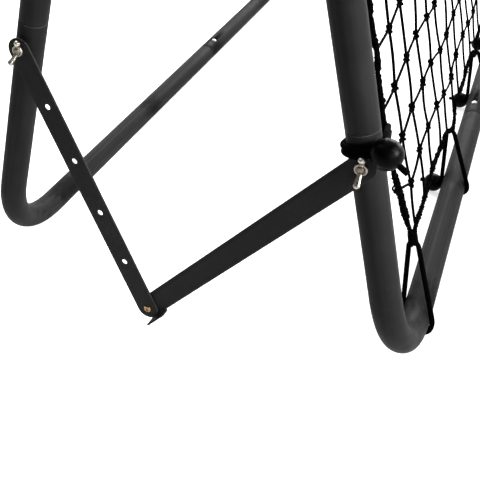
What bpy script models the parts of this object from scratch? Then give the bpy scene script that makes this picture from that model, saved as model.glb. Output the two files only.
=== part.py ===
"""Soccer rebounder: a net frame held at a slant by a hinged support frame and folding side stays.

World frame in metres: X along the frames, +Y from the net frame to the support frame, +Z up.
Each tube frame is modelled flat in a frame of its own: x along it, z up its uprights, y out of its plane.
The near side is at -X and the far side at +X.
"""

import math

import bmesh
import bpy
import numpy as np
from mathutils import Euler, Matrix, Vector, geometry

# Round steel tube
TUBE_DIAMETER = 0.030
TUBE_WALL = 0.0012
TUBE_SIDES = 12
BEND_RADIUS = 0.108
BEND_STEPS = 6

# Swaged slip joints
NECK_LENGTH = 0.045
NECK_CLEARANCE = 0.0003
SHOULDER_LENGTH = 0.004
JOINT_GAP = 0.0006

# Frames, measured between tube axes
FRAME_WIDTH = 1.300
FRAME_RISE = 1.000
FOOT_SPACING = 0.478
NET_LEAN = math.radians(15.55)
NET_UPRIGHT_JOINT = 0.2875
NET_RAIL_JOINT = 0.584
SUPPORT_UPRIGHT_JOINT = 0.3266
SUPPORT_RAIL_JOINT = 0.630

# Top hinge of the support frame
HINGE_BELOW_BEND = 0.016
HINGE_OFFSET = 0.054
HINGE_BOLT_DIAMETER = 0.008
HINGE_BOLT_HEAD_WIDTH = 0.013
HINGE_BOLT_HEAD_HEIGHT = 0.0053
HINGE_NUT_HEIGHT = 0.008
HINGE_BOLT_END = 0.002
SUPPORT_TOP_MARGIN = 0.013
BRACKET_PLATE = 0.003
BRACKET_HEIGHT = 0.028
BRACKET_MARGIN = 0.014
BRACKET_CORNER = 0.010
BRACKET_RIVET_DIAMETER = 0.006
BRACKET_RIVET_HEAD_DIAMETER = 0.011
BRACKET_RIVET_HEAD_HEIGHT = 0.003

# Plastic end cap
CAP_INSERT_LENGTH = 0.006
CAP_THICKNESS = 0.0025
CAP_CROWN = 0.0015

# Side stays
STAY_WIDTH = 0.0254
STAY_PLATE = 0.002
STAY_HOLE_SPACING = 0.064
STAY_HOLE_SPACES = 5
STAY_HOLE_DIAMETER = 0.0066
STAY_END_STEPS = 6
NET_STAY_HEIGHT = 0.259
SUPPORT_STAY_HEIGHT = 0.300
STOP_BEFORE_RIVET = 0.022
STOP_PAST_RIVET = 0.012
STOP_REACH = 0.0075
STOP_TIP = 0.009
STOP_CORNER = 0.004
STOP_ROOT_DEPTH = 0.004

# Wing bolts and nuts
WING_BOLT_DIAMETER = 0.006
WING_BOLT_HEAD_DIAMETER = 0.015
WING_BOLT_HEAD_HEIGHT = 0.0035
WING_BOLT_END = 0.004
SPACER_DIAMETER = 0.013
SPACER_THICKNESS = 0.001
WING_NUT_HUB_DIAMETER = 0.0124
WING_NUT_TOP_DIAMETER = 0.0104
WING_NUT_HEIGHT = 0.0075
WING_SPAN = 0.024
WING_PLATE = 0.0018
WING_RISE = 0.0045
WING_ROOT_DEPTH = 0.0006
WING_FOOT = 0.0015
WING_NUT_RIM = 0.0015
WING_NUT_TURN = math.radians(8.0)

# Stay rivet
RIVET_SHANK_DIAMETER = 0.0060
RIVET_BORE_DIAMETER = 0.0032
RIVET_HEAD_DIAMETER = 0.009
RIVET_HEAD_HEIGHT = 0.0012

# Spring buttons
BUTTON_DIAMETER = 0.008
BUTTON_SETBACK = 0.030
BUTTON_STAND_OUT = 0.0018
CLIP_PLATE = 0.0008
CLIP_WIDTH = 0.008
CLIP_LENGTH = 0.030
CLIP_DEPTH = 0.0185
CLIP_CLEARANCE = 0.0009
CLIP_LIP = 0.006
CLIP_RETURN = 0.004
CLIP_SPREAD = 0.72

# Border rope and net
ROPE_DIAMETER = 0.007
ROPE_STEP = 0.048
SMOOTH_STEPS = 24
NET_CELL = 0.0558
NET_SIDE_MARGIN = 0.129
NET_FOOT_MARGIN = 0.160
NET_STRAND = 0.0023
NET_TIP_GAP = 0.0004

# Ball bungees
CORD_DIAMETER = 0.0055
BALL_DIAMETER = 0.0255
CORD_SLACK = 0.0007
CORD_TAIL = 0.027
RAIL_BUNGEES = 5
RAIL_BUNGEE_MARGIN = 0.131
CORNER_BUNGEE_SKEW = 0.6
SIDE_BUNGEES = 3
SIDE_BUNGEE_ABOVE_STAY = 0.00065
SIDE_BALL_OUT = 0.0175
SIDE_BUNGEE_DROP = 0.25
BAND_PITCH = 0.0058

# Sides of small round pieces and steps of a belt round a tube or the rope
ROUND_STEPS = 9
BELT_STEPS = 10
ROPE_BELT_STEPS = 6

# Space between pieces that touch, and between turning pieces
CONTACT_GAP = 0.0003
BOLT_CLEARANCE = 0.0003

# Border rope route from the lower corner, as distances from the upright's axis and from the lower rail's axis
ROPE_SIDE_ROUTE = (
    (0.1265, 0.084),
    (0.120, 0.095),
    (0.102, 0.136),
    (0.086, 0.175),
    (0.078, 0.208),
    (0.075, 0.260),
    (0.091, 0.310),
    (0.076, 0.373),
    (0.086, 0.430),
)
ROPE_SIDE_MIDDLE = 0.075
ROPE_RAIL_ROUTE = (
    (0.162, 0.0965),
    (0.208, 0.101),
    (0.241, 0.101),
    (0.294, 0.106),
    (0.377, 0.093),
    (0.416, 0.100),
    (0.472, 0.097),
    (0.566, 0.094),
)
ROPE_RAIL_MIDDLE = 0.088

# Derived sizes
TUBE_RADIUS = TUBE_DIAMETER / 2
TUBE_BORE_RADIUS = TUBE_RADIUS - TUBE_WALL
NECK_RADIUS = TUBE_BORE_RADIUS - NECK_CLEARANCE
CORD_RADIUS = CORD_DIAMETER / 2
ROPE_RADIUS = ROPE_DIAMETER / 2
BALL_RADIUS = BALL_DIAMETER / 2
STAY_LENGTH = STAY_HOLE_SPACING * STAY_HOLE_SPACES
HINGE_HEIGHT = FRAME_RISE - BEND_RADIUS - HINGE_BELOW_BEND
CORD_ON_TUBE = TUBE_RADIUS + CONTACT_GAP + CORD_RADIUS
NET_FOOT_HEIGHT = CORD_ON_TUBE / math.cos(math.pi / BELT_STEPS) + CORD_RADIUS
SUPPORT_FOOT_HEIGHT = TUBE_RADIUS * math.cos(math.pi / TUBE_SIDES)
NET_FOOT_Y = (CORD_ON_TUBE + CORD_RADIUS - TUBE_RADIUS - FOOT_SPACING) / 2
SUPPORT_FOOT_Y = NET_FOOT_Y + FOOT_SPACING
SIDE_BUNGEE_MARGIN = NET_STAY_HEIGHT + STAY_WIDTH / 2 + SIDE_BUNGEE_ABOVE_STAY + CORD_RADIUS + BAND_PITCH / 2

# Planes of the two stays, out from the upright's axis
SPACER_SEAT = TUBE_RADIUS + CONTACT_GAP
NET_STAY_INNER = SPACER_SEAT + SPACER_THICKNESS + CONTACT_GAP
SUPPORT_STAY_INNER = NET_STAY_INNER + STAY_PLATE + CONTACT_GAP

FINISHES = {
    "tube_black": ((0.030, 0.030, 0.031), 0.42, 0.2),
    "stay_black": ((0.028, 0.028, 0.029), 0.38, 0.3),
    "zinc": ((0.62, 0.58, 0.52), 0.35, 0.9),
    "brass": ((0.55, 0.33, 0.10), 0.35, 0.9),
    "plastic_black": ((0.012, 0.012, 0.012), 0.35, 0.0),
    "cord_black": ((0.010, 0.010, 0.010), 0.75, 0.0),
    "net_black": ((0.009, 0.009, 0.009), 0.85, 0.0),
}


def clear_scene():
    """Remove every object of the open scene."""
    for old in list(bpy.data.objects):
        bpy.data.objects.remove(old, do_unlink=True)


def new_collection(name):
    """Add a collection to the scene."""
    collection = bpy.data.collections.new(name)
    bpy.context.scene.collection.children.link(collection)
    return collection


def add_empty(name, collection, location, lean):
    """Add the origin of a leaning frame."""
    empty = bpy.data.objects.new(name, None)
    empty.location = location
    empty.rotation_euler = Euler((lean, 0.0, 0.0))
    collection.objects.link(empty)
    return empty


def part_material(name, finish):
    """Make a part's own Principled material from a named finish."""
    color, roughness, metallic = FINISHES[finish]
    material = bpy.data.materials.new(name)
    material.use_nodes = True
    shader = material.node_tree.nodes["Principled BSDF"]
    shader.inputs["Base Color"].default_value = (*color, 1.0)
    shader.inputs["Roughness"].default_value = roughness
    shader.inputs["Metallic"].default_value = metallic
    return material


class Builder:
    """Places finished meshes in the object's collection, and cutters in another."""

    def __init__(self, name):
        self.parts = new_collection(name)
        self.tools = new_collection(f"{name}_cutters")

    def part(self, name, mesh, finish, parent, location=(0.0, 0.0, 0.0), turn=0.0):
        """Add one named sub-part under its frame."""
        mesh.name = name
        item = bpy.data.objects.new(name, mesh)
        item.parent = parent
        item.location = location
        item.rotation_euler = Euler((turn, 0.0, 0.0))
        mesh.materials.clear()
        mesh.materials.append(part_material(name, finish))
        self.parts.objects.link(item)
        return item

    def tool(self, name, mesh, parent, location=(0.0, 0.0, 0.0), turn=0.0):
        """Add a mesh that only cuts or joins others."""
        item = bpy.data.objects.new(name, mesh)
        item.parent = parent
        item.location = location
        item.rotation_euler = Euler((turn, 0.0, 0.0))
        item.hide_render = True
        item.display_type = "WIRE"
        self.tools.objects.link(item)
        return item

    def origin(self, name, location, lean):
        """Add a frame's origin to the object's collection."""
        return add_empty(name, self.parts, location, lean)


def combine(item, other, operation):
    """Cut or join one object with another."""
    modifier = item.modifiers.new(operation.lower(), "BOOLEAN")
    modifier.operation = operation
    modifier.object = other
    modifier.solver = "EXACT"


def mesh_from_bmesh(name, shape, smooth=True):
    """Turn a bmesh into a mesh with smooth round faces and sharp edges."""
    bmesh.ops.recalc_face_normals(shape, faces=shape.faces)
    mesh = bpy.data.meshes.new(name)
    shape.to_mesh(mesh)
    shape.free()
    if smooth:
        mesh.shade_smooth()
        mesh.set_sharp_from_angle(angle=math.radians(40.0))
    return mesh


def mesh_from_object(item):
    """Take an object's evaluated shape as a welded mesh and drop the object."""
    depsgraph = bpy.context.evaluated_depsgraph_get()
    mesh = bpy.data.meshes.new_from_object(item.evaluated_get(depsgraph))
    bpy.data.objects.remove(item, do_unlink=True)
    shape = bmesh.new()
    shape.from_mesh(mesh)
    bmesh.ops.remove_doubles(shape, verts=shape.verts, dist=0.00001)
    return mesh_from_bmesh(mesh.name, shape)


def curve_mesh(name, curve):
    """Turn curve data into a welded mesh."""
    item = bpy.data.objects.new(name, curve)
    bpy.context.scene.collection.objects.link(item)
    bpy.context.view_layer.update()
    return mesh_from_object(item)


def cylinder(name, radius, length, steps=ROUND_STEPS, axis="X"):
    """Make a capped cylinder centred on its axis."""
    turn = {"X": Matrix.Rotation(math.pi / 2, 4, "Y"), "Z": Matrix.Identity(4)}[axis]
    shape = bmesh.new()
    bmesh.ops.create_cone(
        shape, cap_ends=True, segments=steps, radius1=radius, radius2=radius, depth=length, matrix=turn
    )
    return mesh_from_bmesh(name, shape)


def turned(name, profile, steps=ROUND_STEPS, axis="X"):
    """Turn a closed profile of (radius, height) points about its height axis."""
    mesh = bpy.data.meshes.new(name)
    closed = profile[0][0] > 0.0
    count = len(profile)
    edges = [(k, k + 1) for k in range(count - 1)] + ([(count - 1, 0)] if closed else [])
    mesh.from_pydata([(radius, 0.0, height) for radius, height in profile], edges, [])
    item = bpy.data.objects.new(name, mesh)
    bpy.context.scene.collection.objects.link(item)
    screw = item.modifiers.new("turn", "SCREW")
    screw.axis = "Z"
    screw.steps = steps
    screw.render_steps = steps
    screw.use_merge_vertices = True
    screw.merge_threshold = 0.00001
    bpy.context.view_layer.update()
    result = mesh_from_object(item)
    if axis == "X":
        result.transform(Matrix.Rotation(math.pi / 2, 4, "Y"))
    return result


def plate(name, outlines, thickness, axis="X"):
    """Extrude flat outlines, the first solid and the rest holes, equally to both sides of their plane."""
    curve = bpy.data.curves.new(name, "CURVE")
    curve.dimensions = "2D"
    curve.fill_mode = "BOTH"
    curve.extrude = thickness / 2
    for outline in outlines:
        spline = curve.splines.new("POLY")
        spline.points.add(len(outline) - 1)
        spline.use_cyclic_u = True
        for spot, (across, along) in zip(spline.points, outline):
            spot.co = (across, along, 0.0, 1.0)
    mesh = curve_mesh(name, curve)
    if axis == "X":
        mesh.transform(Matrix(((0, 0, 1, 0), (1, 0, 0, 0), (0, 1, 0, 0), (0, 0, 0, 1))))
    return mesh


def mirrored(mesh):
    """Mirror a mesh in X and turn its faces out again."""
    shape = bmesh.new()
    shape.from_mesh(mesh)
    bmesh.ops.scale(shape, vec=(-1.0, 1.0, 1.0), verts=shape.verts)
    return mesh_from_bmesh(mesh.name, shape)


def ring(centre, radius, steps, start=0.0):
    """Points of a circle in a plane."""
    angles = start + 2.0 * math.pi * np.arange(steps) / steps
    return [(centre[0] + radius * math.cos(a), centre[1] + radius * math.sin(a)) for a in angles]


def arm_stations(corner, arm, length, male):
    """Places and radii down one arm of a bent tube, from its open end."""
    if male:
        stations = (
            (length + NECK_LENGTH, NECK_RADIUS),
            (length - JOINT_GAP, NECK_RADIUS),
            (length - JOINT_GAP - SHOULDER_LENGTH, TUBE_RADIUS),
        )
    else:
        stations = ((length, TUBE_RADIUS),)
    return [(corner + arm * distance, radius) for distance, radius in stations]


def bent_tube(corner, first, second):
    """Make a tube with one square bend from its two arms, each (direction, length, male)."""
    corner = Vector(corner)
    arm_a, length_a, male_a = Vector(first[0]), first[1], first[2]
    arm_b, length_b, male_b = Vector(second[0]), second[1], second[2]
    stations = arm_stations(corner, arm_a, length_a, male_a)
    for step in range(BEND_STEPS + 1):
        angle = math.pi / 2 * step / BEND_STEPS
        inward = (arm_a * (1.0 - math.sin(angle)) + arm_b * (1.0 - math.cos(angle))) * BEND_RADIUS
        stations.append((corner + inward, TUBE_RADIUS))
    stations += reversed(arm_stations(corner, arm_b, length_b, male_b))
    return stations


def straight_tube(start, end):
    """Give the stations of a plain straight tube."""
    return [(Vector(start), TUBE_RADIUS), (Vector(end), TUBE_RADIUS)]


def tube_mesh(name, stations, section_turn):
    """Sweep the round tube through its stations, open at both ends."""
    curve = bpy.data.curves.new(name, "CURVE")
    curve.dimensions = "3D"
    curve.bevel_depth = TUBE_RADIUS
    curve.bevel_resolution = (TUBE_SIDES - 4) // 2
    spline = curve.splines.new("POLY")
    spline.points.add(len(stations) - 1)
    for spot, (place, radius) in zip(spline.points, stations):
        spot.co = (*place, 1.0)
        spot.radius = radius / TUBE_RADIUS
        spot.tilt = math.pi / TUBE_SIDES + section_turn
    return curve_mesh(name, curve)


def face_out(mesh, stations):
    """Turn the faces of an open tube away from its axis."""
    shape = bmesh.new()
    shape.from_mesh(mesh)
    bmesh.ops.recalc_face_normals(shape, faces=shape.faces)
    places = [place for place, radius in stations]
    middle = (places[0] + places[1]) / 2
    face = min(shape.faces, key=lambda f: (f.calc_center_median() - middle).length)
    if face.normal.dot(face.calc_center_median() - middle) < 0.0:
        bmesh.ops.reverse_faces(shape, faces=shape.faces)
    shape.to_mesh(mesh)
    shape.free()
    mesh.shade_smooth()
    mesh.set_sharp_from_angle(angle=math.radians(30.0))


def add_tube(builder, name, parent, stations, section_turn):
    """Add a steel tube with its wall turned inward."""
    mesh = tube_mesh(name, stations, section_turn)
    face_out(mesh, stations)
    item = builder.part(name, mesh, "tube_black", parent)
    wall = item.modifiers.new("wall", "SOLIDIFY")
    wall.thickness = TUBE_WALL
    wall.offset = -1.0
    wall.use_even_offset = True
    return item


def smooth_route(route, anchors, step):
    """Read points from a smooth closed curve through a route, evenly spaced between its anchor points."""
    points = np.array(route)
    before, after, beyond = (np.roll(points, shift, axis=0) for shift in (1, -1, -2))
    t = np.linspace(0.0, 1.0, SMOOTH_STEPS, endpoint=False)[None, :, None]
    p0, p1, p2, p3 = (array[:, None, :] for array in (before, points, after, beyond))
    dense = 0.5 * (
        2.0 * p1 + (p2 - p0) * t + (2.0 * p0 - 5.0 * p1 + 4.0 * p2 - p3) * t**2 + (3.0 * (p1 - p2) + p3 - p0) * t**3
    )
    dense = dense.reshape(-1, points.shape[1])
    dense = np.vstack([dense, dense[:1]])
    lengths = np.concatenate([[0.0], np.cumsum(np.linalg.norm(np.diff(dense, axis=0), axis=1))])
    stops = [lengths[anchor * SMOOTH_STEPS] for anchor in (*anchors, len(points))]
    marks = []
    for start, end in zip(stops, stops[1:]):
        marks += list(np.linspace(start, end, max(1, round((end - start) / step)), endpoint=False))
    return np.stack([np.interp(marks, lengths, dense[:, k]) for k in range(points.shape[1])], axis=1)


def rope_route():
    """Give the border rope's closed route as (x, z) in the net frame, with points at its corners and middles."""
    half_width, half_rise = FRAME_WIDTH / 2, FRAME_RISE / 2
    down = [(ROPE_SIDE_MIDDLE, half_rise), *reversed(ROPE_SIDE_ROUTE), *ROPE_RAIL_ROUTE]
    lower_near = np.vstack([np.array(down) - (half_width, half_rise), [(0.0, ROPE_RAIL_MIDDLE - half_rise)]])
    lower_far = (lower_near * (-1.0, 1.0))[::-1][1:]
    lower = np.vstack([lower_near, lower_far])
    upper = (lower * (1.0, -1.0))[::-1][1:-1]
    corner, quarter = len(ROPE_SIDE_ROUTE), len(down)
    anchors = sorted(quarter * k + offset for k in (0, 2) for offset in (0, corner, quarter, 2 * quarter - corner))
    return smooth_route(np.vstack([lower, upper]) + (0.0, half_rise), anchors, ROPE_STEP)


def cord_curve(name, loops, tails, diameter):
    """Sweep a round cord along closed loops and short open tails."""
    curve = bpy.data.curves.new(name, "CURVE")
    curve.dimensions = "3D"
    curve.bevel_depth = diameter / 2
    curve.bevel_resolution = 1
    curve.use_fill_caps = True
    for points, closed in [(loop, True) for loop in loops] + [(tail, False) for tail in tails]:
        spline = curve.splines.new("POLY")
        spline.points.add(len(points) - 1)
        spline.use_cyclic_u = closed
        for spot, place in zip(spline.points, points):
            spot.co = (*place, 1.0)
    return curve_mesh(name, curve)


def rope_offset(route, at, axis, middle):
    """Find the rope's coordinate across the frame where it passes a place along the other axis."""
    other = 1 - axis
    chosen = []
    for start, end in zip(route, np.roll(route, -1, axis=0)):
        low, high = sorted((start[other], end[other]))
        if low <= at <= high and high > low:
            share = (at - start[other]) / (end[other] - start[other])
            chosen.append(start[axis] + share * (end[axis] - start[axis]))
    return [value for value in chosen if (value < middle)], [value for value in chosen if value > middle]


def rail_bungee_spots():
    """Give the places along a rail where bungees tie the rope to it."""
    return np.linspace(RAIL_BUNGEE_MARGIN, FRAME_WIDTH - RAIL_BUNGEE_MARGIN, RAIL_BUNGEES) - FRAME_WIDTH / 2


def strand_end(x):
    """Distance from the rope's axis to a strand's end: on the rope, or on a bungee that crosses it there."""
    crossed = np.min(abs(rail_bungee_spots() - x)) < CORD_DIAMETER
    cord = (ROPE_RADIUS + CORD_SLACK + CORD_RADIUS) / math.cos(math.pi / ROPE_BELT_STEPS) + CORD_RADIUS
    return (cord if crossed else ROPE_RADIUS) + NET_TIP_GAP


def net_mesh(route):
    """Make the square-mesh net, its edge strands ending on the border rope."""
    half = NET_STRAND / 2
    half_width = FRAME_WIDTH / 2
    columns = round((FRAME_WIDTH - 2 * NET_SIDE_MARGIN) / NET_CELL) + 1
    rows = round((FRAME_RISE - 2 * NET_FOOT_MARGIN) / NET_CELL) + 1
    knots_x = np.linspace(NET_SIDE_MARGIN - half_width, half_width - NET_SIDE_MARGIN, columns)
    knots_z = np.linspace(NET_FOOT_MARGIN, FRAME_RISE - NET_FOOT_MARGIN, rows)
    inside = ROPE_RADIUS + NET_TIP_GAP
    middle_z = FRAME_RISE / 2
    xs = np.concatenate([[knots_x[0] - 1.0], knots_x, [knots_x[-1] + 1.0]])
    zs = np.concatenate([[knots_z[0] - 1.0], knots_z, [knots_z[-1] + 1.0]])
    places = np.stack(np.meshgrid(xs, zs, indexing="ij"), axis=-1)
    for j in range(1, rows + 1):
        low, high = rope_offset(route, zs[j], 0, 0.0)
        places[0, j, 0] = max(low) + inside
        places[-1, j, 0] = min(high) - inside
    for i in range(1, columns + 1):
        low, high = rope_offset(route, xs[i], 1, middle_z)
        places[i, 0, 1] = max(low) + strand_end(xs[i])
        places[i, -1, 1] = min(high) - strand_end(xs[i])
    for i, a in ((0, 1), (-1, -2)):
        for j, b in ((0, 1), (-1, -2)):
            places[i, j] = (places[i, b] + places[a, j]) / 2
    shape = bmesh.new()
    bmesh.ops.create_grid(shape, x_segments=columns + 1, y_segments=rows + 1, size=1.0)
    across = np.linspace(-1.0, 1.0, columns + 2)
    up = np.linspace(-1.0, 1.0, rows + 2)
    rim = [vert for vert in shape.verts if vert.is_boundary]
    for vert in shape.verts:
        i = int(np.argmin(abs(across - vert.co.x)))
        j = int(np.argmin(abs(up - vert.co.y)))
        vert.co = (places[i, j, 0], places[i, j, 1], 0.0)
    knots = [vert for vert in shape.verts if not vert.is_boundary]
    cells = list(shape.faces)
    strands = bmesh.ops.inset_individual(shape, faces=cells, thickness=half, use_even_offset=True)["faces"]
    edge_strands = [face for face in strands if sum(vert in rim for vert in face.verts) == 2
                    and any(edge.is_boundary for edge in face.edges)]
    bmesh.ops.delete(shape, geom=cells + edge_strands, context="FACES")
    for vert in knots:
        vert.co.z = half
    mirror = bmesh.ops.duplicate(shape, geom=shape.verts[:] + shape.edges[:] + shape.faces[:])["geom"]
    for item in mirror:
        if isinstance(item, bmesh.types.BMVert):
            item.co.z = -item.co.z
    bmesh.ops.remove_doubles(shape, verts=shape.verts, dist=0.00001)
    mesh = mesh_from_bmesh("net", shape, smooth=False)
    mesh.transform(Matrix.Rotation(math.pi / 2, 4, "X"))
    return mesh


def belt(circles):
    """Give the taut closed route round circles of (centre, radius, steps)."""
    points = []
    for centre, radius, steps in circles:
        points += ring(centre, radius / math.cos(math.pi / steps), steps) if radius > 0.0 else [centre]
    return [points[k] for k in geometry.convex_hull_2d([Vector(point) for point in points])]


def ball_mesh(name):
    """Make a bungee's ball."""
    shape = bmesh.new()
    bmesh.ops.create_uvsphere(shape, u_segments=9, v_segments=6, radius=BALL_RADIUS)
    return mesh_from_bmesh(name, shape)


def add_bungee(builder, name, parent, loops, ball, tail):
    """Add a bungee: its cord loops and the ball that they pass through."""
    centre = Vector(ball)
    ends = [[centre, centre + Vector(tail).normalized() * CORD_TAIL]]
    item = builder.part(name, ball_mesh(name), "cord_black", parent, centre)
    local = [[Vector(place) - centre for place in loop] for loop in loops]
    tails = [[place - centre for place in end] for end in ends]
    cord = builder.tool(f"{name}_cord", cord_curve(name, local, tails, CORD_DIAMETER), parent, centre)
    combine(item, cord, "UNION")
    return item


def add_rail_bungees(builder, net_frame, route):
    """Tie the rope to the lower and upper rails."""
    reach = TUBE_RADIUS + BALL_RADIUS + CONTACT_GAP
    drop = NET_FOOT_HEIGHT - BALL_RADIUS - CONTACT_GAP
    out = math.sqrt(reach**2 - drop**2)
    lean = Matrix.Rotation(NET_LEAN, 2)
    ball_y, ball_z = lean @ Vector((out, -drop))
    for number, x in enumerate(rail_bungee_spots(), start=1):
        low, high = rope_offset(route, x, 1, FRAME_RISE / 2)
        ends = number in (1, RAIL_BUNGEES)
        skew = CORNER_BUNGEE_SKEW * (1 if number == 1 else -1) * ends
        for rail, base, side in (("bottom", 0.0, 1), ("top", FRAME_RISE, -1)):
            rope = abs((min(low) if side > 0 else max(high)) - base)
            circles = (
                ((0.0, 0.0), CORD_ON_TUBE, BELT_STEPS),
                ((0.0, rope), ROPE_RADIUS + CORD_SLACK + CORD_RADIUS, ROPE_BELT_STEPS),
                ((ball_y, ball_z), 0.0, 1),
            )
            loop = [(x + skew * y * (1 - abs(z) / rope), y, base + side * z) for y, z in belt(circles)]
            ball = (x + skew * ball_y * (1 - abs(ball_z) / rope), ball_y, base + side * ball_z)
            tail = (0.0, 0.8, side * 0.5)
            add_bungee(builder, f"net_bungee_{rail}_{number}", net_frame, [loop], ball, tail)


def add_side_bungees(builder, net_frame, route):
    """Tie the rope to the two uprights, with a doubled cord round each."""
    reach = TUBE_RADIUS + BALL_RADIUS + CONTACT_GAP
    ball_front = math.sqrt(reach**2 - SIDE_BALL_OUT**2)
    heights = np.linspace(SIDE_BUNGEE_MARGIN, FRAME_RISE - SIDE_BUNGEE_MARGIN, SIDE_BUNGEES)
    for name, side in (("near", -1), ("far", 1)):
        for number, z in enumerate(heights, start=1):
            low, high = rope_offset(route, z - SIDE_BUNGEE_DROP * ROPE_SIDE_MIDDLE, 0, 0.0)
            rope = FRAME_WIDTH / 2 - abs(min(low) if side < 0 else max(high))
            circles = (
                ((0.0, 0.0), CORD_ON_TUBE, BELT_STEPS),
                ((rope, 0.0), ROPE_RADIUS + 2 * CORD_SLACK + CORD_RADIUS, ROPE_BELT_STEPS),
                ((-SIDE_BALL_OUT, -ball_front), 0.0, 1),
            )
            route_flat = belt(circles)
            loops = []
            for step in (-0.5, 0.5):
                level = z + step * BAND_PITCH
                loops.append(
                    [
                        (side * (FRAME_WIDTH / 2 - x), y, level - SIDE_BUNGEE_DROP * max(x - TUBE_RADIUS, 0.0))
                        for x, y in route_flat
                    ]
                )
            ball = (side * (FRAME_WIDTH / 2 + SIDE_BALL_OUT), -ball_front, z - BAND_PITCH / 4)
            tail = (side * 0.0053, -0.017, -0.0156)
            add_bungee(builder, f"net_bungee_{name}_{number}", net_frame, loops, ball, tail)


def bolt_profile(shank_radius, head_radius, head_height, head_face, end):
    """Profile of a round-headed bolt, with its head under head_face and its shank up to end."""
    edge = head_height * 0.35
    return (
        (0.0, head_face - head_height),
        (head_radius * 0.6, head_face - head_height * 0.8),
        (head_radius, head_face - edge),
        (head_radius, head_face),
        (shank_radius, head_face),
        (shank_radius, end),
        (0.0, end),
    )


def hex_prism(name, width, height, low):
    """Make a six-sided bolt head or nut along X from a named face."""
    mesh = cylinder(name, width / math.sqrt(3.0), height, steps=6)
    mesh.transform(Matrix.Translation((low + height / 2, 0.0, 0.0)))
    return mesh


def wing_nut_mesh(name):
    """Make a wing nut's hub along +X, with its bore."""
    bore = WING_BOLT_DIAMETER / 2 + BOLT_CLEARANCE
    profile = (
        (bore, 0.0),
        (bore, WING_NUT_HEIGHT),
        (WING_NUT_TOP_DIAMETER / 2, WING_NUT_HEIGHT),
        (WING_NUT_HUB_DIAMETER / 2, WING_NUT_RIM),
        (WING_NUT_HUB_DIAMETER / 2, 0.0),
    )
    return turned(name, profile[::-1])


def wing_outline():
    """Outline of one wing as (out from the axis, up the axis)."""
    root = WING_BOLT_DIAMETER / 2 + BOLT_CLEARANCE + WING_ROOT_DEPTH
    tip = WING_SPAN / 2
    top = WING_NUT_HEIGHT + WING_RISE
    lobe = (tip - root) * 0.36
    outline = [(root, WING_FOOT), (root, WING_NUT_HEIGHT - WING_PLATE / 2)]
    for step in range(6):
        angle = math.radians(140.0 - 230.0 * step / 5)
        outline.append((tip - lobe + lobe * math.cos(angle), top - lobe + lobe * math.sin(angle)))
    outline.append((tip - 2.0 * lobe, WING_FOOT))
    return outline


def add_wing_nut(builder, name, parent, location, side, turn):
    """Add a wing nut with its axis along X, opening outward from the frame."""
    hub = wing_nut_mesh(name)
    wings = []
    for flip in (1, -1):
        wing = plate(f"{name}_wing", [[(flip * r, x) for r, x in wing_outline()]], WING_PLATE, axis="Z")
        wing.transform(Matrix(((0, 1, 0, 0), (0, 0, 1, 0), (1, 0, 0, 0), (0, 0, 0, 1))))
        wings.append(wing)
    if side < 0:
        hub = mirrored(hub)
        wings = [mirrored(wing) for wing in wings]
    item = builder.part(name, hub, "zinc", parent, location, turn)
    for number, wing in enumerate(wings):
        combine(item, builder.tool(f"{name}_wing_{number}", wing, parent, location, turn), "UNION")
    return item


def stay_outline():
    """Outline of a stay with round ends, as (across, along)."""
    radius = STAY_WIDTH / 2
    outline = []
    for centre, start in ((STAY_LENGTH, 0.0), (0.0, math.pi)):
        for step in range(STAY_END_STEPS + 1):
            angle = start + math.pi * step / STAY_END_STEPS
            outline.append((radius * math.cos(angle), centre + radius * math.sin(angle)))
    return outline


def stay_mesh(name, marks):
    """Make a flat stay with holes at some marks of its row, from its bolt at the origin to its rivet along +Z."""
    holes = [ring((0.0, STAY_HOLE_SPACING * mark), STAY_HOLE_DIAMETER / 2, ROUND_STEPS) for mark in marks]
    return plate(name, [stay_outline()] + holes, STAY_PLATE)


def stop_meshes(name):
    """Make the stop's root in the stay's plane, and its lip folded out across the other stay."""
    start = STAY_LENGTH - STOP_BEFORE_RIVET
    end = STAY_LENGTH + STOP_PAST_RIVET
    edge = STAY_WIDTH / 2 + CONTACT_GAP
    inside = edge - STOP_ROOT_DEPTH
    root_outline = ((inside, start), (edge + STAY_PLATE, start), (edge + STAY_PLATE, end - STOP_TIP), (inside, end - STOP_TIP))
    root = plate(f"{name}_root", [root_outline], STAY_PLATE)
    low = -STAY_PLATE / 2
    high = STAY_PLATE / 2 + STOP_REACH
    corner = STOP_CORNER
    lip_outline = [(low, start), (low, end - STOP_TIP)]
    for step in range(5):
        share = step / 4
        lip_outline.append((low + (high - low) * share, end - STOP_TIP * (1.0 - share) ** 2))
    for step in range(4):
        angle = math.pi / 2 * step / 3
        lip_outline.append((high - corner + corner * math.cos(angle), start + corner - corner * math.sin(angle)))
    lip = plate(f"{name}_lip", [lip_outline], STAY_PLATE, axis="Z")
    lip.transform(Matrix(((1, 0, 0, 0), (0, 0, 1, edge + STAY_PLATE / 2), (0, 1, 0, 0), (0, 0, 0, 1))))
    return root, lip


def stay_rivet_point(net_bolt, support_bolt):
    """Find where two equal stays meet below their bolts."""
    middle = (net_bolt + support_bolt) / 2
    span = support_bolt - net_bolt
    drop = math.sqrt(STAY_LENGTH**2 - (span.length / 2) ** 2)
    across = Vector((0.0, span.z, -span.y)).normalized()
    return middle + across * drop


def direction_turn(start, end):
    """Angle about X that turns +Z onto the line from start to end."""
    line = end - start
    return math.atan2(-line.y, line.z)


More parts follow.
